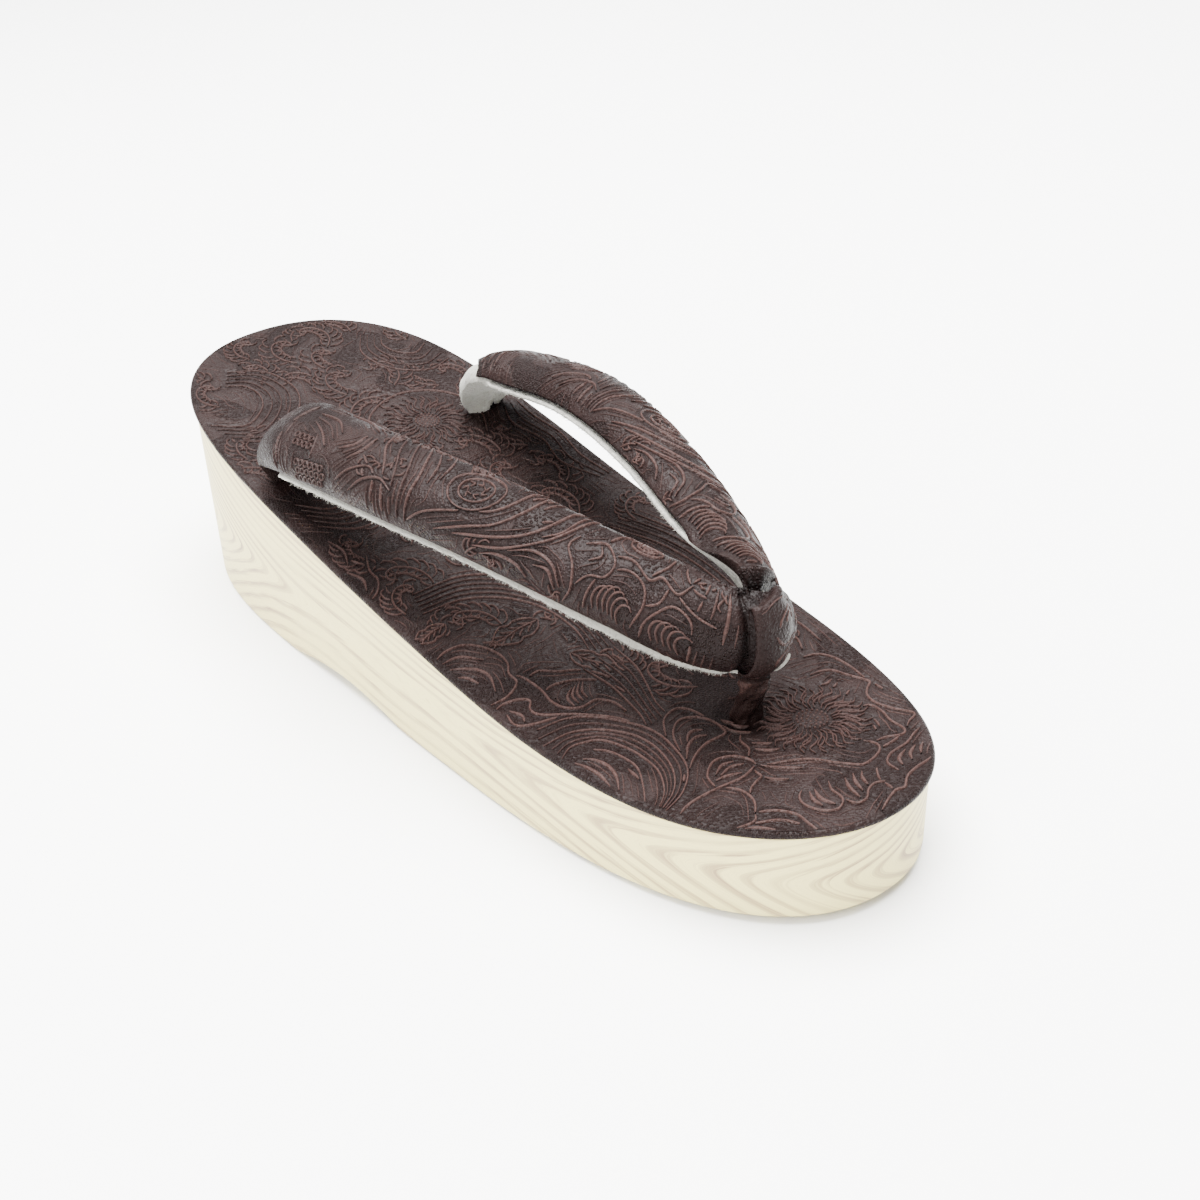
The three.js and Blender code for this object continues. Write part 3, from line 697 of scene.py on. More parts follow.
# The footbed's cuts from the toe back: the kind of cut, then what that method of Tooling asks for.
# A line or stroke gives its width and the places it passes through. The order counts, because a
# later cut stops where it meets an earlier one.
FOOTBED_CUTS = (
    ("sunflower", 10.5, -86, 11.5, 54),
    # the plumed leaf at the left of the ball of the foot
    ("fan", 3, 0.36, SWIRL_OUTER, SWIRL_SECOND),
    ("fan", 4, 0.36, SWIRL_SECOND, SWIRL_THIRD),
    ("line", 0.65, *SWIRL_OUTER),
    ("line", 0.6, *SWIRL_THIRD),
    ("line", 0.4, (-34, -86), (-30, -80.5), (-27, -75), (-27, -70.5), (-28, -67), (-30, -64.5)),
    ("stroke", 1.1, (-35.5, -79.5), (-33.5, -77), (-31.5, -73.5), (-31, -70), (-32, -67),
        (-33.5, -65.5)),
    ("stroke", 1.1, (-35.5, -78.5), (-34.5, -75), (-34, -71.5), (-34.5, -68), (-35.5, -65.5)),
    ("stroke", 0.9, (-31, -83), (-29, -78), (-28.6, -74)),
    # the leaf that curls beside the thong
    ("line", 0.6, (-33, -89.5), (-23.5, -85), (-16.5, -80), (-11.5, -78), (-6.5, -78), (-5.5, -76.5),
        (-5.5, -73), (-7, -70), (-9.5, -68.5), (-12, -69), (-15, -72), (-19, -80), (-26, -86.5)),
    ("stroke", 0.9, (-23, -84.5), (-17, -78.5), (-14.5, -76), (-11.5, -75), (-9.5, -76)),
    ("stroke", 0.9, (-18, -80.5), (-15, -76.5), (-12.5, -73.5), (-10.5, -73), (-9, -74)),
    ("line", 0.55, (-16.5, -71.5), (-13.5, -67), (-11.5, -65.5), (-8.5, -65), (-6.5, -67),
        (-5.5, -71.5), (-5, -75), (-4.5, -78.5), (-1.5, -81.5), (3, -82.5)),
    ("stroke", 0.9, (-4, -74), (-2.6, -76.5), (-0.5, -78.5)),
    ("stroke", 0.9, (-3.4, -76.5), (-2.2, -78.4), (0, -79.8)),
    ("fan", 5, 0.36,
        [(-17, -66), (-15.5, -62), (-14.5, -56), (-14, -50), (-15, -42)],
        [(-11, -65), (-10, -60), (-7.5, -54), (-5.5, -48), (-5, -40)]),
    # leaf and joined outlines below it
    ("line", 0.55, (-19.5, -90), (-18.5, -86.5), (-15.5, -84), (-13, -83.5), (-10, -85), (-8.5, -88),
        (-8.7, -90)),
    ("stroke", 0.8, (-18.7, -88.6), (-16, -88.8), (-12.6, -90.2)),
    ("stroke", 0.8, (-17, -87.2), (-14, -85.6), (-11.4, -86.2)),
    ("stroke", 0.8, (-16.4, -88), (-13, -87.2), (-10.4, -88.2)),
    ("line", 0.6, (-33, -94.5), (-29.5, -91.5), (-25.5, -90.5), (-19.5, -90.7), (-13.5, -91.4),
        (-8.7, -90)),
    ("line", 0.6, (-19.3, -90.7), (-17, -93.5), (-16.6, -96.5), (-17.5, -99.3), (-19.6, -101.8)),
    ("line", 0.5, (-16.6, -97), (-15, -95.4), (-12.5, -94.3), (-10.7, -93.8), (-10.5, -92),
        (-10, -90.7)),
    ("stroke", 0.9, (-8.7, -90), (-7, -93), (-4.3, -96), (-2.9, -97.5)),
    ("stroke", 1.1, (-10.6, -93.9), (-9.6, -96.4), (-7.5, -98.3)),
    ("line", 0.6, (-8.7, -90), (-6.4, -92), (-2.1, -94.3), (0.7, -96.8), (2.9, -100.7), (5.4, -104.3),
        (6.8, -105.1), (10, -104.6), (12.9, -103), (13.4, -100.7), (11.4, -97), (10.7, -94.3)),
    ("line", 0.5, (1.2, -96), (4.3, -94.3), (5.7, -92)),
    ("line", 0.55, (-8.7, -90), (-7.9, -87), (-6.1, -85), (-5.7, -82), (-4.3, -80.5)),
    ("stroke", 0.9, (-4.4, -84), (-2.6, -86), (0, -87.4)),
    ("stroke", 0.9, (-5.4, -86), (-3.4, -88.4), (-0.6, -89.6)),
    # petals at the right of the flower
    ("line", 0.55, (13.5, -100.6), (16.5, -101), (19.6, -102.5), (21.6, -101.4), (22, -97),
        (23.2, -93.5), (22.9, -90), (19.3, -89), (15, -86.5)),
    ("row", 4, 0.5, [(1.7, 0), (1.5, 0), (1.3, 0.3)], (14.5, -91.5), (15.2, -95), (14.8, -98.2)),
    ("row", 4, 0.6, [(0, -2), (0, -1.9), (0, -1.8)], (19, -77), (21.5, -78.4), (23.8, -78)),
    ("line", 0.6, (12.9, -103.2), (17, -103), (21.4, -101.8), (24.3, -100), (27.5, -98.5),
        (25.7, -94.3), (24.6, -90.3), (25.4, -87), (27.5, -85), (29.3, -84), (29.3, -82.8),
        (27.5, -78.6), (26.4, -75.7), (24.3, -74.3), (21.4, -73.9)),
    ("line", 0.55, (25, -68), (28, -69), (30, -72), (30.4, -77), (29.7, -82), (29.6, -87.5)),
    ("line", 0.55, (27, -65.7), (28.9, -62), (28.6, -58.5), (26.5, -56)),
    ("stroke", 0.6, (32.4, -66), (33.4, -60), (33.6, -54)),
    # scallops at the toe
    ("line", 0.55, (-8.6, -103), (-10.4, -104.3), (-11.4, -107), (-10.4, -110.7), (-7.9, -112.5),
        (-5, -110.7), (-4.3, -107), (-2.8, -104.5)),
    ("stroke", 1.3, (-7.2, -111), (-7.8, -107.6), (-6.6, -104.6)),
    ("stroke", 1.0, (-9.2, -109.6), (-9, -106.8), (-7.8, -104.4)),
    ("line", 0.55, (-5, -110.7), (-4.3, -113.6), (-1.8, -113.9), (0.7, -112), (3, -111.4),
        (4.9, -112.3)),
    ("stroke", 1.1, (-2.4, -112.8), (-1.4, -109), (0.2, -106)),
    ("stroke", 1.1, (-0.4, -111.6), (0.8, -108.4), (2.4, -106)),
    ("stroke", 1.0, (1.8, -110.8), (2.8, -108.2), (4.2, -106.6)),
    ("line", 0.5, (4.3, -115), (4.6, -111.4), (6.4, -108.6), (7.1, -107.9)),
    ("line", 0.65, (-3.5, -119), (0.7, -117), (4.3, -115.7), (6.4, -116.1), (9.3, -114), (12.9, -113),
        (17, -112.5), (20.5, -110.8)),
    ("line", 0.55, (6.4, -116.1), (5.4, -118.4)),
    ("line", 0.55, (9.6, -111.4), (10, -108), (12.9, -106), (18, -105.4), (21.4, -104), (24, -103.2)),
    ("stroke", 1.0, (11.6, -110.6), (13, -108.2), (16, -107)),
    ("stroke", 1.0, (14.4, -110.4), (16, -108.4), (18.6, -107.2)),
    ("stroke", 0.9, (17.4, -110), (19, -108.4), (20.6, -107.4)),
    ("line", 0.55, (-19.6, -101.8), (-16.4, -104.3), (-14.6, -108), (-15, -112), (-15.2, -116.5)),
    ("line", 0.6, (-22, -104.3), (-18, -107), (-16.2, -110.6)),
    ("stroke", 0.9, (-27, -105), (-24.6, -107), (-22.4, -110.4)),
    ("stroke", 0.7, (-25.8, -103.4), (-22.8, -105.4), (-20.6, -108.6)),
    ("line", 0.5, (-31, -99.5), (-27.4, -102), (-22, -103.8), (-19.6, -101.8)),
    # scrolls under the front of the left strap
    ("line", 0.6, (-39, -21), (-35.5, -19.6), (-31, -20), (-28, -23), (-26.5, -27), (-26.8, -30.7),
        (-28.6, -33.6), (-29, -37), (-33.6, -39.6), (-38.5, -39.6)),
    ("stroke", 1.0, (-39, -24.8), (-36.2, -26), (-33.2, -28.6), (-32.4, -32), (-34.4, -36.8)),
    ("stroke", 0.9, (-39, -27.8), (-36.6, -29.4), (-35.6, -32.4)),
    ("stroke", 0.7, (-38.8, -22.6), (-34, -22.8), (-30.2, -26.6)),
    ("line", 0.6, (-28.8, -34.3), (-27, -36.5), (-26.4, -42), (-27, -46.4), (-26, -50), (-23.2, -52),
        (-19.3, -52), (-17, -55), (-16.8, -59)),
    ("line", 0.55, (-26.4, -43), (-23, -42.5), (-18, -44.3), (-14.3, -48), (-13, -53), (-12.8, -59)),
    ("line", 0.5, (-25.7, -37), (-23, -36.8), (-20, -39.3), (-15.7, -42), (-12.8, -46.5), (-11, -54)),
    ("row", 4, 0.9, [(1.3, 0.2), (1.3, 0), (1.3, 0.3)], (-24.2, -50.8), (-23.6, -47.6), (-21, -45.6)),
    ("line", 0.6, (-39, -42), (-35.7, -41), (-32, -41.8), (-30.4, -43.6), (-32, -45.7), (-31.4, -48.6),
        (-25.7, -53), (-20.5, -58.5), (-18.5, -62)),
    ("line", 0.55, (-37, -44.3), (-37.5, -48), (-34.6, -50), (-29.3, -51.4)),
    ("stroke", 0.9, (-35.8, -43.6), (-34.6, -46.4), (-35.4, -48.4)),
    ("leaf", -14, -36, -155, 1.15),
    ("leaf", -12.5, -22.5, 95, 1.3, 5),
    ("leaf", -30, -12, 100, 0.9),
    ("fan", 6, 0.36,
        [(-10, -38), (-8, -30), (-9, -20), (-14, -12), (-22, -7), (-32, -6)],
        [(-3, -40), (-2, -30), (-3, -18), (-8, -7), (-17, 0), (-30, 1)]),
    ("line", 0.6, (-38.8, 4.5), (-35.7, 6.4), (-33.2, 10), (-33, 13.6), (-30.7, 18.6)),
    ("stroke", 1.0, (-37.5, 8), (-36, 12), (-37.6, 16)),
    ("stroke", 0.9, (-36, 18), (-34, 23), (-35, 28)),
    # the middle and the heel
    ("fan", 7, 0.36,
        [(6, -42), (12, -34), (14, -24), (11, -14), (4, -8), (-2, -7)],
        [(14, -52), (22, -42), (25, -26), (21, -10), (11, 2), (2, 4)]),
    ("fan", 4, 0.36,
        [(16, -56), (26, -48), (30, -34), (29, -18), (23, -4)],
        [(22, -60), (32, -50), (36, -34), (35.5, -16), (31, -2)]),
    ("fan", 5, 0.36,
        [(-34, 34), (-26, 28), (-16, 30), (-10, 38), (-10, 48), (-16, 56)],
        [(-34, 44), (-28, 38), (-22, 39), (-18, 44), (-18, 49), (-21, 52)]),
    ("sunflower", 12, 56, 10.5, 48),
    ("line", 0.6, (-2, 46), (-4, 54), (-1, 63), (5, 68), (13, 70), (21, 67), (26, 60), (26, 52),
        (22, 44)),
    ("medallion", 2, 26, 20, 6.4, 4.8),
    ("fan", 3, 0.36,
        [(34, 14), (30, 24), (32, 34), (30, 44), (33, 52)],
        [(37, 14), (36, 24), (37.5, 34), (36.5, 44), (37, 52)]),
    ("fan", 5, 0.36,
        [(-32, 74), (-24, 70), (-14, 76), (-8, 86), (-10, 98), (-18, 104)],
        [(-34, 84), (-27, 79), (-20, 83), (-17, 89), (-18, 95), (-22, 98)]),
    ("fan", 4, 0.36,
        [(34, 78), (26, 76), (18, 82), (16, 92), (21, 101)],
        [(33, 88), (28, 85), (24, 88), (23, 93), (25, 97)]),
)


def footbed_tooling():
    made = Tooling(footbed_room)
    made.cut(FOOTBED_CUTS)
    for plume in FOOTBED_PLUMES:
        made.plume(*plume)
    made.echo(1.1, 13, 11, quiet_ground)
    return made


STRAP_MARGIN = 1.4  # plain leather along the strap's edges

# mm from the nose, mm over the crown, way in degrees, scale, whether it curls to the other side
STRAP_PLUMES = (
    (12, 22, 80, 0.7, False), (47, 2, 100, 0.8, True), (62, 3, 60, 0.7, False),
    (74, 26, -70, 0.8, True), (90, 22, 60, 0.9, False), (96, 14, 100, 0.9, True),
    (103, 24, 80, 0.9, False),
)

# The straps' cuts in mm from the nose and mm over the crown, written as FOOTBED_CUTS is
STRAP_CUTS = (
    ("fan", 3, 0.8, [(104, 13), (101, 15.5), (100.5, 19)], [(99.5, 11.5), (97.5, 15), (97.5, 19.5)]),
    ("stroke", 0.9, (95.5, 5), (92, 9), (88, 10.5), (84, 9)),
    ("line", 0.6, (100, 6), (97, 9.5), (92.5, 12), (89.5, 9.5), (88.5, 5)),
    ("fan", 4, 0.6,
        [(85, 4), (86.5, 9), (89.5, 14), (93, 18), (95, 22), (99, 27)],
        [(78.5, 4), (79, 10), (79.5, 15), (82, 21), (85, 25), (88, 29)]),
    ("stroke", 0.7, (76.5, 14), (77.5, 19), (81, 24)),
    ("stroke", 0.7, (74.5, 16), (75, 21), (78, 26)),
    ("medallion", 65.5, 17.5, -20, 6.6, 5.2),
    ("berries", 71, 24, 175, 3, 2),
    ("line", 0.7, (79, 3.5), (74, 8), (66, 11.5), (59, 14.5), (55.5, 19.5), (54.5, 27)),
    ("line", 0.7, (70.5, 5.5), (63, 9), (57, 12), (53, 17), (51.5, 22), (52, 29)),
    ("line", 0.8, (65.5, 6.5), (56, 9.5), (49.5, 13), (45.5, 18), (44, 24), (45, 29)),
    ("line", 0.7, (60, 6), (52.5, 8.5), (45, 13.5), (41, 19), (39.5, 25), (40, 29)),
    ("line", 0.4, (53.6, 22 - 1.9 / 3), (52.1, 25), (52.3, 29.5)),
    ("line", 0.4, (51.7, 22 - 3.8 / 3), (50.2, 25), (50.4, 29.5)),
    ("line", 0.4, (49.8, 22 - 5.7 / 3), (48.3, 25), (48.5, 29.5)),
    ("stroke", 0.9, (58, 5), (54, 6.5), (49, 6.4), (46, 4.6)),
    ("stroke", 0.9, (51.5, 8.4), (46, 10.6), (41, 9.6), (38, 6)),
    ("stroke", 0.8, (45, 8), (41.5, 8.2), (39, 5)),
    ("line", 0.6, (37, 3), (35.5, 7), (37, 11.5), (40, 15), (39, 18)),
    ("line", 0.6, (35.5, 7), (33, 11), (29.5, 12.5), (29, 16), (33, 19), (37, 17)),
    ("stroke", 0.7, (34.5, 14), (32.5, 16), (34, 18.4)),
    ("comb", 23.5, 4.5, 6, 6, 6.5),
    ("line", 0.6, (32, 4), (31.5, 9), (30, 13), (26, 16), (21.5, 15.5), (19.5, 12), (20.5, 6)),
    ("line", 0.65, (30, 17.5), (26, 18.5), (21, 17), (19, 19), (14.5, 18), (12.5, 21)),
    ("line", 0.6, (19.6, 12), (17, 14.5), (16.5, 17.8)),
    ("line", 0.6, (33, 20), (31, 25), (26, 28), (21, 26.5), (19.5, 22), (21, 18)),
    ("medallion", 26, 23.5, 0, 3.6, 2.4),
    ("comb", 11, 6, 2, 5, 6.0),
    ("line", 0.5, (8.5, 20), (12, 20.5), (15.5, 23), (17, 26)),
    ("line", 0.6, (18.5, 5), (17.8, 10), (14.5, 15.4), (10, 14.5), (9.2, 9), (9.5, 5)),
    ("line", 0.55, (14.5, 18), (11, 16.6), (6, 15)),
    ("line", 0.6, (13, 21), (12, 26), (14, 30)),
    ("fan", 3, 0.6, [(10, 15), (9, 20), (9.5, 28)], [(5, 12), (4.5, 19), (5, 27)]),
    ("fan", 2, 0.5, [(48, 17), (44.5, 20), (43, 27)], [(46, 14), (42.5, 17.5), (41, 26)]),
    ("fan", 3, 0.5, [(100, 22), (108, 25), (116, 25)], [(97, 26), (107, 29), (117, 29)]),
    ("fan", 3, 0.6, [(108, 17), (114, 20), (122, 20)], [(109, 12), (114, 15), (120, 17)]),
    ("fan", 3, 0.5, [(124, 4), (127, 12), (126, 22)], [(130, 5), (132, 12), (131, 22)]),
)
LEFT_STRAP_CUTS = (("berries", 116, 6, 175, 6, 3), ("berries", 121, 12, 178, 4, 2))
RIGHT_PLUMES = 5  # the right strap has only the first of them
LEFT_PLAIN_FROM = 127  # past this place the left strap's leather is plain


def strap_tooling(chart):
    """The scrolls of one strap, from its rear bend to the nose. The right strap's cut is turned."""

    def room(places):
        over = STRAP_ROUND - places[:, 1] if chart.right else places[:, 1]
        widest = np.interp(places[:, 0], chart.stops, chart.over[:, -1])
        turn = np.interp(over, chart.over[8], chart.turns)
        begins = places[:, 0] > band_reach(turn, chart.right) + 1.8
        ends = places[:, 0] < (strap_end(over, True) - 1 if chart.right else LEFT_PLAIN_FROM)
        return begins & ends & (over > STRAP_MARGIN) & (over < widest - STRAP_MARGIN)

    made = Tooling(room)
    if not chart.right:
        made.cut(LEFT_STRAP_CUTS)
    made.cut(STRAP_CUTS)
    for plume in STRAP_PLUMES[: RIGHT_PLUMES if chart.right else None]:
        made.plume(*plume)
    made.echo(1.05, 11, 5, quiet_ground)
    if chart.right:
        for lines in (made.lines, made.main):
            lines[:] = [
                (np.stack([places[:, 0], STRAP_ROUND - places[:, 1]], 1), *form)
                for places, *form in lines
            ]
    return made


# ------------------------------------------------------------------ mesh making
def loft(name, columns, rows, place, ring=False):
    """A mesh from a bmesh grid: place gives millimetres for arrays of u and v from 0 to 1."""
    bm = bmesh.new()
    bmesh.ops.create_grid(bm, x_segments=columns, y_segments=rows, size=0.5)
    bm.verts.ensure_lookup_table()
    chart = np.array([vert.co[:2] for vert in bm.verts]) + 0.5
    for vert, point in zip(bm.verts, place(chart[:, 0], chart[:, 1])):
        vert.co = Vector(point) * MM
    bmesh.ops.remove_doubles(bm, verts=bm.verts, dist=1e-6)
    if ring:
        open_edges = [edge for edge in bm.edges if edge.is_boundary]
        bmesh.ops.holes_fill(bm, edges=open_edges)
    bmesh.ops.dissolve_degenerate(bm, dist=1e-7, edges=bm.edges)
    bmesh.ops.recalc_face_normals(bm, faces=bm.faces)
    return finished(name, bm)


def finished(name, bm):
    """A smooth-shaded object at the origin from a bmesh."""
    for face in bm.faces:
        face.smooth = True
    mesh = bpy.data.meshes.new(name)
    bm.to_mesh(mesh)
    bm.free()
    piece = bpy.data.objects.new(name, mesh)
    bpy.context.scene.collection.objects.link(piece)
    return piece


def settle(piece, material):
    """Gives a piece its finish and the body it moves with."""
    piece.data.materials.append(material)
    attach(piece, "root")
    return piece


def add_attribute(piece, name, values):
    layer = piece.data.attributes.new(name, "FLOAT", "POINT")
    layer.data.foreach_set("value", np.asarray(values, dtype=np.float32))


def tree_of(spots):
    """A search tree of places, flat or in space."""
    tree = kdtree.KDTree(len(spots))
    for i, spot in enumerate(spots):
        tree.insert((*spot, 0)[:3], i)
    tree.balance()
    return tree


def nearest_line(tooling, places, reach):
    """The distance from each place to the nearest main line, up to reach."""
    tree = tree_of(np.vstack([line for line, *_ in tooling.main]))
    found = np.full(len(places), reach)
    for i, (x, y) in enumerate(places):
        hit = tree.find((x, y, 0))
        found[i] = min(hit[2], reach)
    return found


def relief(tooling, places, depth, reach=2.4):
    """(height, painted shade) of pillowed leather: it dips beside each line and swells between lines,
    and its shade is painted darkest beside each line.
    """
    away = nearest_line(tooling, places, reach) / reach
    height = depth * (np.sin(away * math.pi / 2) ** 0.8 - 1)
    # painted shade, darkest beside each line
    painted_shade = np.exp(-((away * reach / 0.75) ** 2))
    return height, painted_shade


def ridges(chart, tooling, height, sink):
    """Every tooled line as a low rounded ridge that lies on its chart, and every bead."""
    bm = bmesh.new()
    crest = bm.verts.layers.float.new("rub")
    for x, y, radius in tooling.beads:
        bead = bmesh.ops.create_cone(
            bm, cap_ends=True, segments=7, radius1=radius, radius2=radius * 0.5, depth=1
        )["verts"]
        ring = np.array([vert.co[:] for vert in bead])
        lift = np.where(ring[:, 2] > 0, height, -sink)
        for vert, point, up in zip(bead, chart.place(ring[:, :2] + (x, y), lift), lift > 0):
            vert.co = Vector(point) * MM
            vert[crest] = 0.7 * up
    columns = [rail_points(chart, height, sink, *line) for line in tooling.lines]
    add_strips(bm, [points for points, _ in columns], [rub for _, rub in columns], crest)
    return bm


def add_strips(bm, strips, values, layer):
    """Adds strips of (rails, places): one long grid, parted where one strip ends."""
    rails, along = np.concatenate(strips, axis=1), np.concatenate(values, axis=1)
    total, first = rails.shape[1], len(bm.verts)
    grid = bmesh.ops.create_grid(bm, x_segments=total - 1, y_segments=len(rails) - 1, size=0.5)
    grid = grid["verts"]
    for vert, point, value in zip(grid, rails.reshape(-1, 3) * MM, along.reshape(-1)):
        vert.co = point
        vert[layer] = value
    bm.verts.index_update()
    ends = set(np.cumsum([points.shape[1] for points in strips]) - 1)
    bridges = []
    for face in bm.faces:
        spots = [(vert.index - first) % total for vert in face.verts]
        if face.verts[0].index >= first and min(spots) in ends and max(spots) - min(spots) == 1:
            bridges.append(face)
    bmesh.ops.delete(bm, geom=bridges, context="FACES")


def rail_points(chart, height, sink, line, width, taper, rub):
    """Four rails of one ridge, from one foot over its crest to the other, and each one's rub."""
    run = unit(np.gradient(line, axis=0))
    across = np.stack([-run[:, 1], run[:, 0]], 1)
    part = np.linspace(0, 1, len(line))
    swell = np.ones(len(line))
    if taper > 0:
        swell = np.sin(np.clip(np.minimum(part, 1 - part) / taper, 0.12, 1) * math.pi / 2)
    half = 0.45 * width * swell + 0.08
    crest = height * 0.8
    profile = ((-1.0, -sink, 0), (-0.45, crest, rub), (0.45, crest, rub), (1.0, -sink, 0))
    rails = [
        chart.place(line + across * (half * wide)[:, None], lift * np.minimum(1, 0.3 + swell))
        for wide, lift, _ in profile
    ]
    rubs = [worn * chart.wear(line) for _, _, worn in profile]
    return np.array(rails), np.array(rubs)


# ------------------------------------------------------------------ finishes
class Finish:
    """A procedural material, built node by node."""

    def __init__(self, name):
        self.material = bpy.data.materials.new(name)
        self.material.use_nodes = True
        self.tree = self.material.node_tree
        self.shader = self.tree.nodes["Principled BSDF"]

    def node(self, kind, values=(), **settings):
        made = self.tree.nodes.new(kind)
        for key, value in settings.items():
            setattr(made, key, value)
        for key, value in dict(values).items():
            self.feed(made.inputs[key], value)
        return made

    def feed(self, socket, value):
        if isinstance(value, bpy.types.NodeSocket):
            self.tree.links.new(value, socket)
        else:
            socket.default_value = value

    def shade(self, **values):
        for key, value in values.items():
            self.feed(self.shader.inputs[key.replace("_", " ")], value)

    def place(self):
        return self.node("ShaderNodeTexCoord").outputs["Object"]

    def attribute(self, name):
        return self.node("ShaderNodeAttribute", attribute_name=name).outputs["Fac"]

    def stretched(self, vector, scale):
        return self.node("ShaderNodeMapping", {"Vector": vector, "Scale": scale}).outputs[0]

    def noise(self, vector, scale, detail=4.0, rough=0.55):
        made = self.node(
            "ShaderNodeTexNoise",
            {"Vector": vector, "Scale": scale, "Detail": detail, "Roughness": rough},
        )
        return made.outputs["Fac"]

    def cells(self, vector, scale, feature="F1"):
        made = self.node("ShaderNodeTexVoronoi", {"Vector": vector, "Scale": scale}, feature=feature)
        return made.outputs["Distance"]

    def math(self, operation, first, second=0.0):
        made = self.node("ShaderNodeMath", operation=operation)
        self.feed(made.inputs[0], first)
        self.feed(made.inputs[1], second)
        return made.outputs[0]

    def band(self, value, low, high, to_low=0.0, to_high=1.0):
        made = self.node(
            "ShaderNodeMapRange",
            {"Value": value, "From Min": low, "From Max": high, "To Min": to_low, "To Max": to_high},
        )
        return made.outputs["Result"]

    def blend(self, part, first, second):
        made = self.node("ShaderNodeMix", data_type="RGBA", blend_type="MIX")
        self.feed(made.inputs["Factor"], part)
        self.feed(made.inputs["A"], first)
        self.feed(made.inputs["B"], second)
        return made.outputs["Result"]

    def bump(self, height, distance, strength=1.0):
        values = {"Height": height, "Distance": distance, "Strength": strength}
        return self.node("ShaderNodeBump", values).outputs["Normal"]


def shade_of(colour, factor):
    return tuple(min(part * factor, 1) for part in colour[:3]) + (1,)


def leather_finish(name, colours):
    """Semi-matte tooled leather, rubbed red on its ridges and darkened by painted shade beside its cuts
    and in its folds and slots.
    """
    made = Finish(name)
    place = made.place()
    leather = tuple(colours.leather) + (1,)
    patches = made.noise(place, 70, 3)
    fine = made.noise(place, 900, 4)
    painted_shade = made.attribute("painted_shade")
    rub = made.attribute("rub")
    patchy = made.band(patches, 0.35, 0.7)
    tone = made.blend(patchy, shade_of(leather, 0.82), shade_of(leather, 1.2))
    ground = made.math("ADD", made.math("MULTIPLY", made.attribute("stipple"), 0.75), 0.25)
    pits = made.math("MULTIPLY", made.band(made.cells(place, 1700), 0.3, 0.6), ground)
    tone = made.blend(made.math("MULTIPLY", pits, 0.6), tone, shade_of(leather, 0.4))
    # painted shade: darker beside the tooled lines, in the slot, in the band's opening and in the cord's
    # folds
    dark = made.blend(made.math("MULTIPLY", painted_shade, 0.6), tone, shade_of(leather, 0.35))
    worn = made.math("MULTIPLY", rub, made.band(fine, 0.3, 0.6, 0.55, 1.0))
    colour = made.blend(worn, dark, tuple(colours.rubbed) + (1,))
    grain = made.cells(place, 1500)
    pores = made.cells(place, 620, "DISTANCE_TO_EDGE")
    dots = made.band(made.cells(place, 1700), 0.15, 0.55)
    stippled = made.math("MULTIPLY", made.math("MULTIPLY", dots, 2.6), ground)
    height = made.math("ADD", made.math("MULTIPLY", grain, 0.5), made.math("MULTIPLY", pores, 0.8))
    height = made.math("ADD", height, made.math("MULTIPLY", fine, 0.6))
    normal = made.bump(made.math("SUBTRACT", height, stippled), 0.00026, 0.8)
    rough = made.band(made.noise(place, 160, 3), 0.35, 0.65, 0.40, 0.56)
    made.shade(Base_Color=colour, Roughness=rough, Normal=normal)
    made.shade(Specular_IOR_Level=0.07)
    return made.material


def felt_finish(colours):
    """White wool felt with a soft, matted surface."""
    made = Finish("felt")
    place = made.place()
    mat = made.noise(place, 1400, 5, 0.7)
    lumps = made.noise(place, 260, 3)
    felt = tuple(colours.felt) + (1,)
    colour = made.blend(made.band(mat, 0.3, 0.7), shade_of(felt, 0.86), shade_of(felt, 1.04))
    height = made.math("ADD", mat, lumps)
    made.shade(Base_Color=colour, Roughness=0.95, Normal=made.bump(height, 0.0007, 1.0))
    made.shade(Specular_IOR_Level=0.1, Sheen_Weight=0.3, Sheen_Roughness=0.6)
    return made.material


def wrap_finish(colours):
    """Ivory wrap with faint wood grain that runs along the wall."""
    made = Finish("wood_grain_wrap")
    chart = made.node("ShaderNodeUVMap", uv_map="Grain").outputs["UV"]
    ivory, grain = tuple(colours.wrap) + (1,), tuple(colours.grain) + (1,)
    streaks = made.noise(made.stretched(chart, (0.05, 2.2, 1)), 1.0, 5, 0.65)
    fibres = made.noise(made.stretched(chart, (0.3, 14.0, 1)), 1.0, 3, 0.6)
    drift = made.noise(made.stretched(chart, (0.012, 0.06, 1)), 1.0, 2)
    split = made.node("ShaderNodeSeparateXYZ", {"Vector": chart}).outputs["Y"]
    rings = made.math("ADD", made.math("MULTIPLY", split, 0.42), made.math("MULTIPLY", drift, 3.2))
    rings = made.math("ADD", rings, made.math("MULTIPLY", streaks, 0.9))
    wave = made.math("SINE", made.math("MULTIPLY", rings, 2 * math.pi))
    line = made.band(wave, -0.15, 1.0)
    veil = made.band(made.noise(made.stretched(chart, (0.02, 0.12, 1)), 1.0, 2), 0.30, 0.52)
    strength = made.math("MULTIPLY", line, veil)
    strength = made.math("MULTIPLY", strength, made.band(streaks, 0.3, 0.7, 0.25, 1.0))
    colour = made.blend(strength, ivory, grain)
    fleck = made.band(fibres, 0.5, 0.75, 0, 0.3)
    colour = made.blend(fleck, colour, grain)
    rough = made.band(fibres, 0.3, 0.7, 0.42, 0.52)
    normal = made.bump(fibres, 0.00008, 0.35)
    made.shade(Base_Color=colour, Roughness=rough, Normal=normal, Specular_IOR_Level=0.4)
    return made.material


# ------------------------------------------------------------------ sizes and colours
def length(name, description, default):
    """A size that a user may change, in metres."""
    return bpy.props.FloatProperty(
        name=name, description=description, default=default * MM, unit="LENGTH"
    )


def tint(name, description, default):
    """A colour that a user may change."""
    return bpy.props.FloatVectorProperty(
        name=name, description=description, default=default, subtype="COLOR"
    )


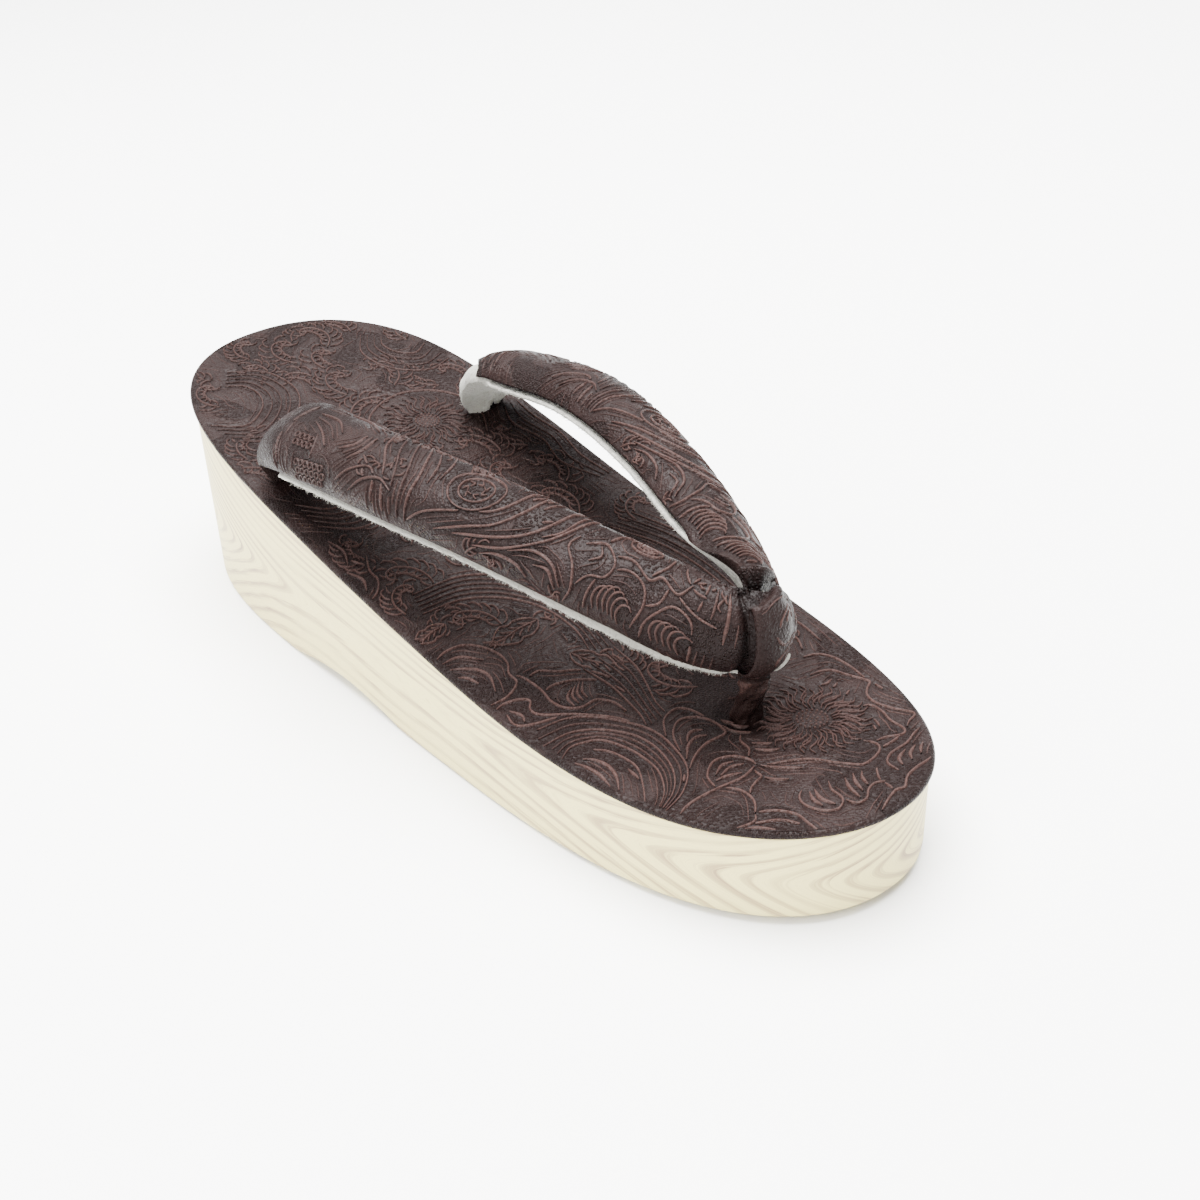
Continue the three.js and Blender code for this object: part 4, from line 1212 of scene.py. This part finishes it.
class ZoriSizes(bpy.types.PropertyGroup):
    ridge_height: length("Ridge height", "Height of a tooled ridge", 0.19)
    pillow_depth: length("Pillow depth", "How deep the leather dips at a line", 0.42)
    felt_edge: length("Felt edge", "Thickness of the felt at a strap's edge", 1.25)


class ZoriColours(bpy.types.PropertyGroup):
    leather: tint("Leather", "Tooled leather", (0.0086, 0.0044, 0.0039))
    rubbed: tint("Rubbed ridges", "Leather rubbed bare", (0.032, 0.0168, 0.0143))
    felt: tint("Felt", "Wool felt lining", (0.25, 0.24, 0.205))
    wrap: tint("Wall wrap", "Ground of the wall", (0.585, 0.505, 0.20))
    grain: tint("Wood grain", "Grain of the wall", (0.15, 0.08, 0.05))


def sizes():
    return bpy.context.scene.zori_sizes


def colours():
    return bpy.context.scene.zori_colours


_finishes = {}


def finish(name):
    """The material of that name, made once."""
    if name not in _finishes:
        makers = {
            "leather": lambda: leather_finish("tooled_leather", colours()),
            "felt": lambda: felt_finish(colours()),
            "wrap": lambda: wrap_finish(colours()),
        }
        _finishes[name] = makers[name]()
    return _finishes[name]


# ------------------------------------------------------------------ the sole's wall
WALL_STEPS = 220
WALL_LEVELS = 40
STRAIGHT_WALL = 0.9  # the part of the levels above the rounded bottom edge
WALL_CLEAR = 0.05  # between the wall's top and the cover


class SoleWrap(bpy.types.Operator):
    """The sole block in its wood-grain wrap"""

    bl_idname = "zori.sole_wrap"
    bl_label = "Sole wrap"

    def execute(self, context):
        def place(u, v):
            turns = u * math.pi
            at, normal = outline(turns)
            # v runs: deck across, right wall down, bottom across, left wall up
            quarter = np.floor(v * 4 - 1e-9).clip(0, 3)
            part = v * 4 - quarter
            which = [quarter == 0, quarter == 1, quarter == 2]
            side = np.select(which, [2 * part - 1, 1, 1 - 2 * part], -1)
            down = np.select(which, [0, part, 1], 1 - part)
            down = np.clip(down, 0, 1)
            toeward = np.maximum(-normal[:, 1], 0) ** 2
            rolled = np.clip((down - STRAIGHT_WALL) / (1 - STRAIGHT_WALL), 0, 1) * math.pi / 2
            wall = np.clip(down / STRAIGHT_WALL, 0, 1)
            inset = WALL_INSET + TOE_TAPER * toeward * wall + BOTTOM_EDGE * (1 - np.cos(rolled))
            x = -(at[:, 0] - normal[:, 0] * inset) * side
            y = at[:, 1] - normal[:, 1] * inset
            deck = top_at(y) - COVER_THICK - WALL_CLEAR
            base = underside_at(y)
            z = deck + (base + BOTTOM_EDGE - deck) * wall - BOTTOM_EDGE * np.sin(rolled)
            return np.stack([x, y, z], 1)

        piece = loft("sole_wrap", WALL_STEPS, WALL_LEVELS * 4, place)
        self.chart_grain(piece)
        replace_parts(settle(piece, finish("wrap")), "sole_block")
        return {"FINISHED"}

    def chart_grain(self, piece):
        """Grain chart of the wall: millimetres round the wall, and the grain's own rings."""
        at, _ = outline(np.linspace(0, math.pi, 2001))
        reach = np.concatenate([[0], np.cumsum(np.linalg.norm(np.diff(at, axis=0), axis=1))])
        mesh = piece.data
        layer = mesh.uv_layers.new(name="Grain")
        spots = np.array([vert.co[:] for vert in mesh.vertices]) / MM
        tree = tree_of(at)
        nearest = [tree.find((-abs(x), y, 0))[1] for x, y, _ in spots]
        from_toe = reach[-1] - reach[nearest]
        for face in mesh.polygons:
            side = 1 if face.center.x > 0 else -1
            for loop in face.loop_indices:
                x, y, z = spots[mesh.loops[loop].vertex_index]
                around = side * from_toe[mesh.loops[loop].vertex_index]
                layer.data[loop].uv = grain_chart(around, z)


# place round the wall, reach and strength of each set of nested arrowheads in the wood grain;
# a positive strength points them away from the toe on the left wall
GRAIN_ARROWS = ((-14, 52, 0.34), (-225, 42, -0.36), (95, 46, 0.30), (215, 44, -0.34))


def grain_chart(around, z):
    """The wood's chart at a place on the wall: level lines that nest into arrowheads."""
    off_axis = z - 10 - 0.05 * abs(around)
    ring = 0.85 * math.hypot(off_axis, 2.2) + 0.15 * off_axis
    for middle, reach, strength in GRAIN_ARROWS:
        ring -= strength * 0.886 * reach * math.erf((around - middle) / reach)
    return around + 1.2 * off_axis, ring


# ------------------------------------------------------------------ the footbed
FOOTBED_STEPS = 520
FOOTBED_ACROSS = 132
FOOTBED_UNDER = 24  # steps down one edge, under the cover and up the other
DIMPLE = (1.6, 5.2)  # depth and radius of the hollow where the thong goes in


class FootbedLeather(bpy.types.Operator):
    """The footbed's tooled leather, rolled over the board's edge"""

    bl_idname = "zori.footbed_leather"
    bl_label = "Footbed leather"

    def execute(self, context):
        tooling = footbed_tooling()
        depth = sizes().pillow_depth / MM
        top_part = FOOTBED_ACROSS / (FOOTBED_ACROSS + FOOTBED_UNDER)

        def place(u, v):
            turns = u * math.pi
            at, normal = outline(turns)
            # v runs: top across, right edge down, underside, left edge up
            top = v <= top_part + 1e-9
            rest = np.clip((v - top_part) / (1 - top_part), 0, 1)
            side = np.where(top, 2 * v / top_part - 1, 0)
            edge = np.where(rest < 0.45, rest / 0.45, np.where(rest > 0.55, (1 - rest) / 0.45, 1))
            roll = np.where(top, 0, np.clip(edge, 0, 1)) * math.pi
            inset = COVER_EDGE * (1 - np.sin(roll))
            half_x = -(at[:, 0] - normal[:, 0] * inset)
            x = np.where(top, half_x * side, np.where(rest < 0.5, half_x, -half_x))
            y = at[:, 1] - normal[:, 1] * inset
            middle = top_at(y) - COVER_THICK / 2
            z = middle + COVER_THICK / 2 * np.cos(roll)
            crowned = np.where(top, crown_at(x, y) - top_at(y), 0)
            lift, _ = relief(tooling, np.stack([x, y], 1), depth)
            fade = np.where(top, np.clip((1 - np.abs(side)) * half_width_at(y) / 1.5, 0, 1), 0)
            hole = np.hypot(x - THONG_FOOT[0], y - THONG_FOOT[1])
            dimple = np.where(top, -DIMPLE[0] * np.exp(-((hole / DIMPLE[1]) ** 4)), 0)
            return np.stack([x, y, z + crowned + lift * fade + dimple], 1)

        piece = loft("footbed_leather", FOOTBED_STEPS, FOOTBED_ACROSS + FOOTBED_UNDER, place)
        spots = np.array([vert.co[:] for vert in piece.data.vertices]) / MM
        _, painted_shade = relief(tooling, spots[:, :2], depth)
        # painted shade beside each tooled line; the stipple keeps clear of it
        add_attribute(piece, "painted_shade", painted_shade)
        add_attribute(piece, "stipple", quiet_ground(spots[:, :2]) * (1 - painted_shade))
        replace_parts(settle(piece, finish("leather")), "footbed_cover")

        bm = ridges(FootbedChart(), tooling, sizes().ridge_height / MM, depth + 0.1)
        ridge_piece = finished("footbed_ridges", bm)
        settle(ridge_piece, finish("leather"))
        return {"FINISHED"}


# ------------------------------------------------------------------ the straps
STRAP_STEPS = 270
STRAP_OVER = 56
STEP_POWER = 1.3  # the steps along a strap are finer near the nose
FELT_FROM = 2.5  # where the felt begins, from the nose
BARE_FROM = 124  # from here to its root the right strap is felt all through
FUZZ_FIBRES = 2600
FUZZ_LENGTHS = (0.3, 0.8)
STRAP_ROUND = 31  # width of the strap's leather, over the crown
UNDER_STEPS = 8  # across the hidden underside of the leather
LEATHER_EDGES = (math.radians(6), math.radians(174))  # turns where the leather meets the felt


class StrapLeather(bpy.types.Operator):
    """The tooled leather of both straps"""

    bl_idname = "zori.strap_leather"
    bl_label = "Strap leather"

    def execute(self, context):
        for right in (False, True):
            self.strap(right)
        return {"FINISHED"}

    def strap(self, right):
        name = "strap_leather_" + ("right" if right else "left")
        chart = StrapChart(right)
        tooling = strap_tooling(chart)
        depth = sizes().pillow_depth / MM
        over_part = STRAP_OVER / (STRAP_OVER + UNDER_STEPS)
        low, high = LEATHER_EDGES

        def place(u, v):
            over = np.clip(v / over_part, 0, 1)
            back = np.clip((v - over_part) / (1 - over_part), 0, 1)
            end = strap_end(np.where(back > 0, 1 - back, over) * STRAP_ROUND, right)
            from_nose = u**STEP_POWER * end
            # near the nose the leather also wraps the strap's inner edge
            wrapped = math.radians(48 if right else 16) * np.exp(-((from_nose / 21) ** 4))
            turn = low + (high + wrapped - low) * over
            tuck = 0.8 * np.clip((turn - high) / 0.3, 0, 1)
            on_chart = np.stack([from_nose, chart.over_at(from_nose, turn)], 1)
            lift, _ = relief(tooling, on_chart, depth)
            dip, _ = nose_groove(from_nose, turn, right)
            edge = np.clip(np.minimum(over, 1 - over) / 0.06, 0, 1)
            grow = lift * edge + dip * edge**0.3 + tuck
            grown_wide, grown_up = strap_profile(from_nose, turn, grow)
            under = back > 0
            first_wide, first_up = strap_profile(from_nose, np.full(len(u), low))
            last_wide, last_up = strap_profile(from_nose, high + wrapped)
            wide_at = np.where(under, last_wide + (first_wide - last_wide) * back, grown_wide)
            flat_up = last_up + (first_up - last_up) * back + 0.3 * np.sin(back * math.pi)
            up_at = np.where(under, flat_up, grown_up)
            return strap_place(from_nose, drawn(wide_at, from_nose, right), up_at, right)

        piece = loft(name, STRAP_STEPS, STRAP_OVER + UNDER_STEPS, place, ring=True)
        self.paint(piece, chart, tooling)
        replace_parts(settle(piece, finish("leather")), "strap")

        bm = ridges(chart, tooling, sizes().ridge_height / MM, depth + 0.1)
        settle(finished(name + "_ridges", bm), finish("leather"))

    def paint(self, piece, chart, tooling):
        """The painted shade beside each line and in the slot, and the stippled ground."""
        dots = np.vstack([line for line, *_ in tooling.main])
        tree = tree_of(chart.place(dots, np.zeros(len(dots))))
        away = np.array([tree.find(vert.co / MM)[2] for vert in piece.data.vertices])
        # painted shade beside each line
        painted_shade = np.exp(-((away / 0.8) ** 2))
        stops, overs = np.meshgrid(np.arange(0, 145, 0.7), np.arange(0.5, 31, 0.7), indexing="ij")
        ground = np.stack([stops.ravel(), overs.ravel()], 1)
        turn = chart.turn_at(ground[:, 0], ground[:, 1])
        _, slot = nose_groove(ground[:, 0], turn, chart.right)
        charted = ground.copy()
        if chart.right:
            charted[:, 1] = STRAP_ROUND - ground[:, 1]
        quiet = quiet_ground(charted)
        tree = tree_of(chart.place(ground, np.zeros(len(ground))))
        near = [tree.find(vert.co / MM)[1] for vert in piece.data.vertices]
        # painted shade beside the lines, and stronger in the slot by the toe band
        add_attribute(piece, "painted_shade", np.maximum(painted_shade, slot[near] * 1.6))
        add_attribute(piece, "stipple", quiet[near] * (1 - painted_shade))


class StrapFelt(bpy.types.Operator):
    """The felt under both straps, which shows as a soft edge"""

    bl_idname = "zori.strap_felt"
    bl_label = "Strap felt"

    def execute(self, context):
        edge = sizes().felt_edge / MM
        for right in (False, True):

            def place(u, v, right=right):
                long = STRAP_LENGTH - (3.5 if right else 35)
                from_nose = FELT_FROM + u**STEP_POWER * long
                turn = v * 2 * math.pi
                across, up = np.cos(turn), np.sin(turn)
                half = strap_column("half", from_nose) + 0.15
                hidden = 0.2 + 1.3 * np.exp(-((from_nose / 18) ** 4)) * (1 if right else 1.4)
                hidden = hidden + 3 * np.exp(-((from_nose / 8) ** 2))
                slab = (half - hidden * (across < 0)) * np.sign(across) * np.abs(across) ** 0.35
                thick = np.where(up > 0, edge * 0.5, edge * 0.5 + 0.3)
                rise = -0.1 + thick * np.sign(up) * np.abs(up) ** 0.7
                near = np.exp(-((from_nose / 42) ** 4))
                outer = np.clip(slab / half, 0, 1)
                shown = 0.2 + (4.2 * np.exp(-(((from_nose - 9) / 6) ** 4)) if right else 0.9 * near)
                slab = slab - (strap_trim(from_nose) - shown) * outer
                # past the right strap's leather the felt is the whole strap
                over = np.where(up > 0, turn, np.where(across > 0, 0, math.pi)) / math.pi * STRAP_ROUND
                under_leather = np.clip((strap_end(over, right) + 1.5 - from_nose) / 3, 0, 1)
                bare_wide, bare_rise = strap_profile(from_nose, turn, -0.3 - 1.3 * under_leather)
                bare = np.clip((from_nose - BARE_FROM) / 6, 0, 1) * right
                wide = slab * (1 - bare) + bare_wide * bare
                high = rise * (1 - bare) + bare_rise * bare
                folds = 0.6 * np.sin(3 * turn + 0.5 * from_nose) * (1 - under_leather)
                high = high + folds * bare * np.abs(up)
                lumps = 0.12 * np.sin(from_nose * 1.3 + turn) + 0.06 * np.sin(from_nose * 2.9 - 2 * turn)
                lumps = lumps * np.where(across < 0, np.clip((from_nose - 20) / 10, 0, 1), 1)
                return strap_place(from_nose, wide + lumps * np.sign(across), high + 0.5 * lumps, right)

            name = "strap_felt_" + ("right" if right else "left")
            piece = loft(name, 200, 44, place, ring=True)
            settle(piece, finish("felt"))
            self.fuzz(name + "_fuzz", place, 31 + right)
        self.tab()
        return {"FINISHED"}

    def tab(self):
        """The bit of felt that shows between the toe band and the right strap."""
        ends = strap_place(np.array([2.2, 4.9]), np.array([10.3, 10.4]), np.array([3.2, 5.2]), True)
        along = (ends[1] - ends[0]) / 2
        side, out = strap_frame(np.array([3.5]), True)
        across, deep = ((way * (-1, 1, 1))[0] for way in (side, out))
        bm = bmesh.new()
        bmesh.ops.create_uvsphere(bm, u_segments=28, v_segments=18, radius=1)
        for vert in bm.verts:
            x, y, z = vert.co
            bow = 0.35 * (1 - x * x)
            offset = along * 1.15 * x + across * (0.85 * y + bow) + deep * 0.8 * z
            vert.co = Vector(ends.mean(0) + offset) * MM
        bmesh.ops.recalc_face_normals(bm, faces=bm.faces)
        settle(finished("nose_felt", bm), finish("felt"))

    def fuzz(self, name, place, seed):
        """Short loose fibres that stand off the felt's edge."""
        random = np.random.default_rng(seed)
        u = random.uniform(0.05, 0.97, FUZZ_FIBRES)
        v = random.normal(0, 0.045, FUZZ_FIBRES) % 1
        v = np.where((random.random(FUZZ_FIBRES) < 0.5) | (u < 0.26), v, (v + 0.5) % 1)
        root = place(u, v)
        away = unit(root - 0.5 * (place(u, np.full(len(u), 0.0)) + place(u, np.full(len(u), 0.5))))
        lean = unit(random.normal(0, 1, root.shape))
        long = random.uniform(*FUZZ_LENGTHS, FUZZ_FIBRES)[:, None]
        tips = root + unit(away + 1.1 * lean) * long
        middle = (root + tips) / 2 + 0.2 * lean[:, ::-1] * long
        across = unit(np.cross(away, lean)) * 0.045
        strips = [
            np.array([[a - w, b - w, c - 0.2 * w], [a + w, b + w, c + 0.2 * w]])
            for a, b, c, w in zip(root - 0.2 * away, middle, tips, across)
        ]
        bm = bmesh.new()
        layer = bm.verts.layers.float.new("rub")
        add_strips(bm, strips, [np.zeros((2, 3))] * len(strips), layer)
        settle(finished(name, bm), finish("felt"))


# ------------------------------------------------------------------ the toe thong
def band_place(part, turn, grow):
    """The band at a part of its reach, from -1 at the left to 1; grow nan is its hidden inside."""
    thick = smooth(BAND_SECTIONS[:, 0], BAND_SECTIONS[:, 3], np.degrees(turn))
    signed = part * np.where(part < 0, band_reach(turn, False), band_reach(turn, True))
    rim = np.sqrt(np.clip(1 - part**4, 0, 1))
    front = np.clip(np.sin(turn), 0, 1)
    folds = 0.22 * np.sin(signed * 1.6 + 1.6 * np.sin(2.2 * turn)) + 0.16 * np.sin(7 * turn + signed)
    folds = folds - 0.5 * np.exp(-(((turn - 0.42) / 0.1) ** 2))
    rise = 0.3 + thick * (0.25 + 0.75 * rim) + folds * rim * (0.5 + 0.5 * front)
    # the band ends in a rolled lip, and a dark opening lies behind it
    rise = rise + 0.45 * np.exp(-(((turn - 2.26) / 0.13) ** 2))
    past_lip = np.clip((turn - 2.38) / 0.12, 0, 1) * np.clip((4.4 - turn) / 0.5, 0, 1)
    rise = rise * (1 - past_lip) - 1.7 * past_lip
    rise = np.where(np.isnan(grow), np.minimum(0.25, rise - 0.5), rise + np.nan_to_num(grow))
    places = [leather_place(np.abs(signed), turn, rise, side) for side in (False, True)]
    return np.where((signed > 0)[:, None], places[1], places[0])


BAND_OUTSIDE = 0.75  # part of the steps across the band that lie on its outside
BAND_DEGREES = 6  # a millimetre up the band is about so many degrees round the nose


class BandChart:
    """Chart of the band's front: (mm to the right of the nose, mm up round it)."""

    def place(self, chart, grow):
        turn = np.radians(chart[:, 1] * BAND_DEGREES)
        reach = np.where(chart[:, 0] < 0, band_reach(turn, False), band_reach(turn, True))
        return band_place(np.clip(chart[:, 0] / reach, -1, 1), turn, grow)

    def wear(self, chart):
        return np.ones(len(chart))


def shade_top(piece):
    """Paints shade on the band in the opening behind its lip."""
    turns = np.radians(np.arange(142, 250, 4.0))
    flat = np.zeros(len(turns))
    dots = [band_place(flat + part, turns, flat) for part in (-0.8, 0, 0.8)]
    tree = tree_of(np.vstack(dots))
    away = np.array([tree.find(vert.co / MM)[2] for vert in piece.data.vertices])
    # painted shade in the opening
    add_attribute(piece, "painted_shade", 1.6 * np.exp(-((away / 1.6) ** 4)))


# The few cuts that reach the toe band, on BandChart, written as FOOTBED_CUTS is
BAND_CUTS = (
    ("line", 0.4, (-1.5, 4.5), (1.5, 5.2), (4.5, 5.0), (7.5, 5.6)),
    ("line", 0.35, (-1.8, 2.4), (1, 3.2), (3.5, 3.0), (6, 3.6)),
    ("arcs", 2.4, 10.5, (0.8, 1.6, 2.4)),
    ("arcs", 2.2, 17.0, (0.8, 1.6)),
    ("arcs", 5.6, 13.6, (0.7, 1.4)),
    ("stroke", 0.45, (-0.8, 20.8), (0.8, 21.8), (2.4, 21.0)),
    ("stroke", 0.45, (4.0, 8.6), (5.4, 10.2), (5.0, 12.0)),
    ("row", 4, 0.5, [(0.3, 1.2), (0, 1.5), (-0.2, 1.5), (-0.3, 1.4)],
        (0.8, 7.0), (2.6, 6.8), (5.4, 7.4), (6.2, 9.0)),
    ("line", 0.45, (-1.7, 22), (-0.9, 18.5), (-1.2, 15), (-0.3, 12), (-0.8, 8)),
    ("line", 0.45, (8.6, 9.5), (7.6, 12.5), (7.4, 15.5), (5.6, 18.5), (3.8, 21)),
    ("stroke", 0.5, (0.4, 20), (1.2, 17.5), (3.2, 16.8), (4.2, 18.4), (3.2, 19.8)),
    ("stroke", 0.45, (0.2, 15.6), (0.9, 13.8), (2.6, 13.4)),
    ("stroke", 0.45, (0.6, 23.5), (1.4, 21.6), (2.8, 21.8)),
)


def band_tooling():
    def room(places):
        turn = np.radians(places[:, 1] * BAND_DEGREES)
        left, right = band_reach(turn, False), band_reach(turn, True)
        return (places[:, 0] > 0.5 - left) & (places[:, 0] < right - 0.5)

    made = Tooling(room)
    made.cut(BAND_CUTS)
    return made


# the cord's centre line, from inside the band down into the sole
THONG_PATH = (
    (0, -80.0, 36.2), (0.4, -79.4, 32.5), (1.0, -77.6, 29.0), (1.5, -75.4, 22.6), (1.5, -75.0, 16.0)
)
THONG_RADIUS = 3.25
PLEAT_FOOT, PLEAT_CREST = 3.2, 3.3  # radii below which the cord is painted with shade in its folds and above which rubbed


class ToeThong(bpy.types.Operator):
    """The gathered leather band round the nose and the cord below it"""

    bl_idname = "zori.toe_thong"
    bl_label = "Toe thong"

    def execute(self, context):
        def band(u, v):
            turn = u * 2 * math.pi
            # v runs over the outside and back along the inside
            outside = v < BAND_OUTSIDE
            back = (v - BAND_OUTSIDE) / (1 - BAND_OUTSIDE)
            part = np.where(outside, v / BAND_OUTSIDE * 2 - 1, 1 - back * 2)
            return band_place(part, turn, np.where(outside, 0, np.nan))

        piece = loft("thong_band", 180, 72, band)
        shade_top(piece)
        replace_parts(settle(piece, finish("leather")), "toe_thong")
        bm = ridges(BandChart(), band_tooling(), sizes().ridge_height / MM, 0.3)
        settle(finished("thong_band_ridges", bm), finish("leather"))

        path = np.array(THONG_PATH)
        stops = np.linspace(0, 1, len(path))

        def cord(u, v):
            centre = np.stack([smooth(stops, path[:, axis], u) for axis in range(3)], 1)
            turn = v * 2 * math.pi
            twist = turn + 1.8 * u
            pleat = 0.30 * np.sin(4 * twist) + 0.16 * np.sin(9 * twist + 6 * u)
            pleat += 0.45 * np.abs(np.sin(13 * u + turn)) ** 1.5 - 0.25 + 0.2 * np.sin(31 * u + 2 * turn)
            radius = THONG_RADIUS + 0.35 * np.cos(2 * math.pi * u) + pleat * 0.8
            return centre + np.stack(
                [radius * np.cos(turn), radius * 0.92 * np.sin(turn), np.zeros(len(u))], 1
            )

        piece = loft("thong_cord", 90, 72, cord, ring=True)
        spots = np.array([vert.co[:] for vert in piece.data.vertices]) / MM
        centre = [np.interp(spots[:, 2], path[::-1, 2], path[::-1, axis]) for axis in (0, 1)]
        radius = np.hypot(spots[:, 0] - centre[0], spots[:, 1] - centre[1])
        add_attribute(piece, "rub", np.clip((radius - PLEAT_CREST) / 0.4, 0.2, 0.9))
        # painted shade in the folds of the cord
        add_attribute(piece, "painted_shade", np.clip((PLEAT_FOOT - radius) / 0.8, 0, 0.6))
        settle(piece, finish("leather"))
        return {"FINISHED"}


# ------------------------------------------------------------------ the stage
CAMERA_AT = (-212.4, -319.3, 243.5)
CAMERA_TURNS = (-36.21, 30.49, -3.82)  # azimuth, elevation and roll, in degrees
CAMERA_LENS = 56.37
FLOOR_HALF = 4  # metres
SKY_COLOUR, SKY_STRENGTH = (0.95, 0.97, 1.0, 1), 1.1
# name, place in metres, side in metres, power in watts; each lamp looks at the origin
LAMPS = (
    ("overhead", (0.05, 0.15, 1.2), 1.3, 185),
    ("window", (-1.3, -0.35, 0.9), 1.0, 48),
)


class Stage(bpy.types.Operator):
    """A pale floor, soft studio light and the camera"""

    bl_idname = "zori.stage"
    bl_label = "Stage"

    def execute(self, context):
        bm = bmesh.new()
        bmesh.ops.create_grid(bm, x_segments=1, y_segments=1, size=FLOOR_HALF)
        floor = finished("floor", bm)
        paper = Finish("paper")
        paper.shade(Base_Color=(0.86, 0.86, 0.85, 1), Roughness=0.9, Specular_IOR_Level=0.1)
        floor.data.materials.append(paper.material)

        world = bpy.data.worlds.new("studio")
        world.use_nodes = True
        sky = world.node_tree.nodes["Background"].inputs
        sky["Color"].default_value, sky["Strength"].default_value = SKY_COLOUR, SKY_STRENGTH
        context.scene.world = world
        for lamp in LAMPS:
            self.lamp(*lamp)
        self.camera(context)
        return {"FINISHED"}

    def camera(self, context):
        """The camera, from its place, its turns and its lens."""
        data = bpy.data.cameras.new("camera")
        data.lens, data.sensor_width = CAMERA_LENS, 36
        data.clip_start, data.clip_end = 0.01, 50
        camera = bpy.data.objects.new("camera", data)
        context.scene.collection.objects.link(camera)
        azimuth, elevation, roll = (math.radians(turn) for turn in CAMERA_TURNS)
        level = math.cos(elevation)
        back = Vector((math.sin(azimuth) * level, -math.cos(azimuth) * level, math.sin(elevation)))
        right = Vector((math.cos(azimuth), math.sin(azimuth), 0))
        axes = (right, back.cross(right), back)
        turn = Matrix([[axis[row] for axis in axes] for row in range(3)]).to_4x4()
        place = Matrix.Translation(Vector(CAMERA_AT) * MM)
        camera.matrix_world = place @ turn @ Matrix.Rotation(roll, 4, "Z")
        context.scene.camera = camera

    def lamp(self, name, place, size, power):
        data = bpy.data.lights.new(name, "AREA")
        data.shape, data.size, data.energy = "SQUARE", size, power
        lamp = bpy.data.objects.new(name, data)
        lamp.location = place
        lamp.rotation_euler = (-Vector(place)).to_track_quat("-Z", "Y").to_euler()
        bpy.context.scene.collection.objects.link(lamp)


class ZoriPanel(bpy.types.Panel):
    """Lists the sandal's pieces, sizes and colours"""

    bl_idname = "VIEW3D_PT_zori"
    bl_label = "Zori sandal"
    bl_space_type = "VIEW_3D"
    bl_region_type = "UI"
    bl_category = "Zori"

    def draw(self, context):
        for group in (context.scene.zori_sizes, context.scene.zori_colours):
            box = self.layout.box()
            for name in group.bl_rna.properties.keys():
                if name not in ("name", "rna_type"):
                    box.prop(group, name)
        for operator in PIECES:
            self.layout.operator(operator.bl_idname)


PIECES = (SoleWrap, FootbedLeather, StrapLeather, StrapFelt, ToeThong, Stage)
CLASSES = (ZoriSizes, ZoriColours, *PIECES, ZoriPanel)


def register():
    for kind in CLASSES:
        bpy.utils.register_class(kind)
    bpy.types.Scene.zori_sizes = bpy.props.PointerProperty(type=ZoriSizes)
    bpy.types.Scene.zori_colours = bpy.props.PointerProperty(type=ZoriColours)


def unregister():
    del bpy.types.Scene.zori_sizes
    del bpy.types.Scene.zori_colours
    for kind in reversed(CLASSES):
        bpy.utils.unregister_class(kind)


def main():
    register()
    for operator in PIECES:
        call = bpy.ops
        for part in operator.bl_idname.split("."):
            call = getattr(call, part)
        call()


if __name__ == "__main__":
    main()
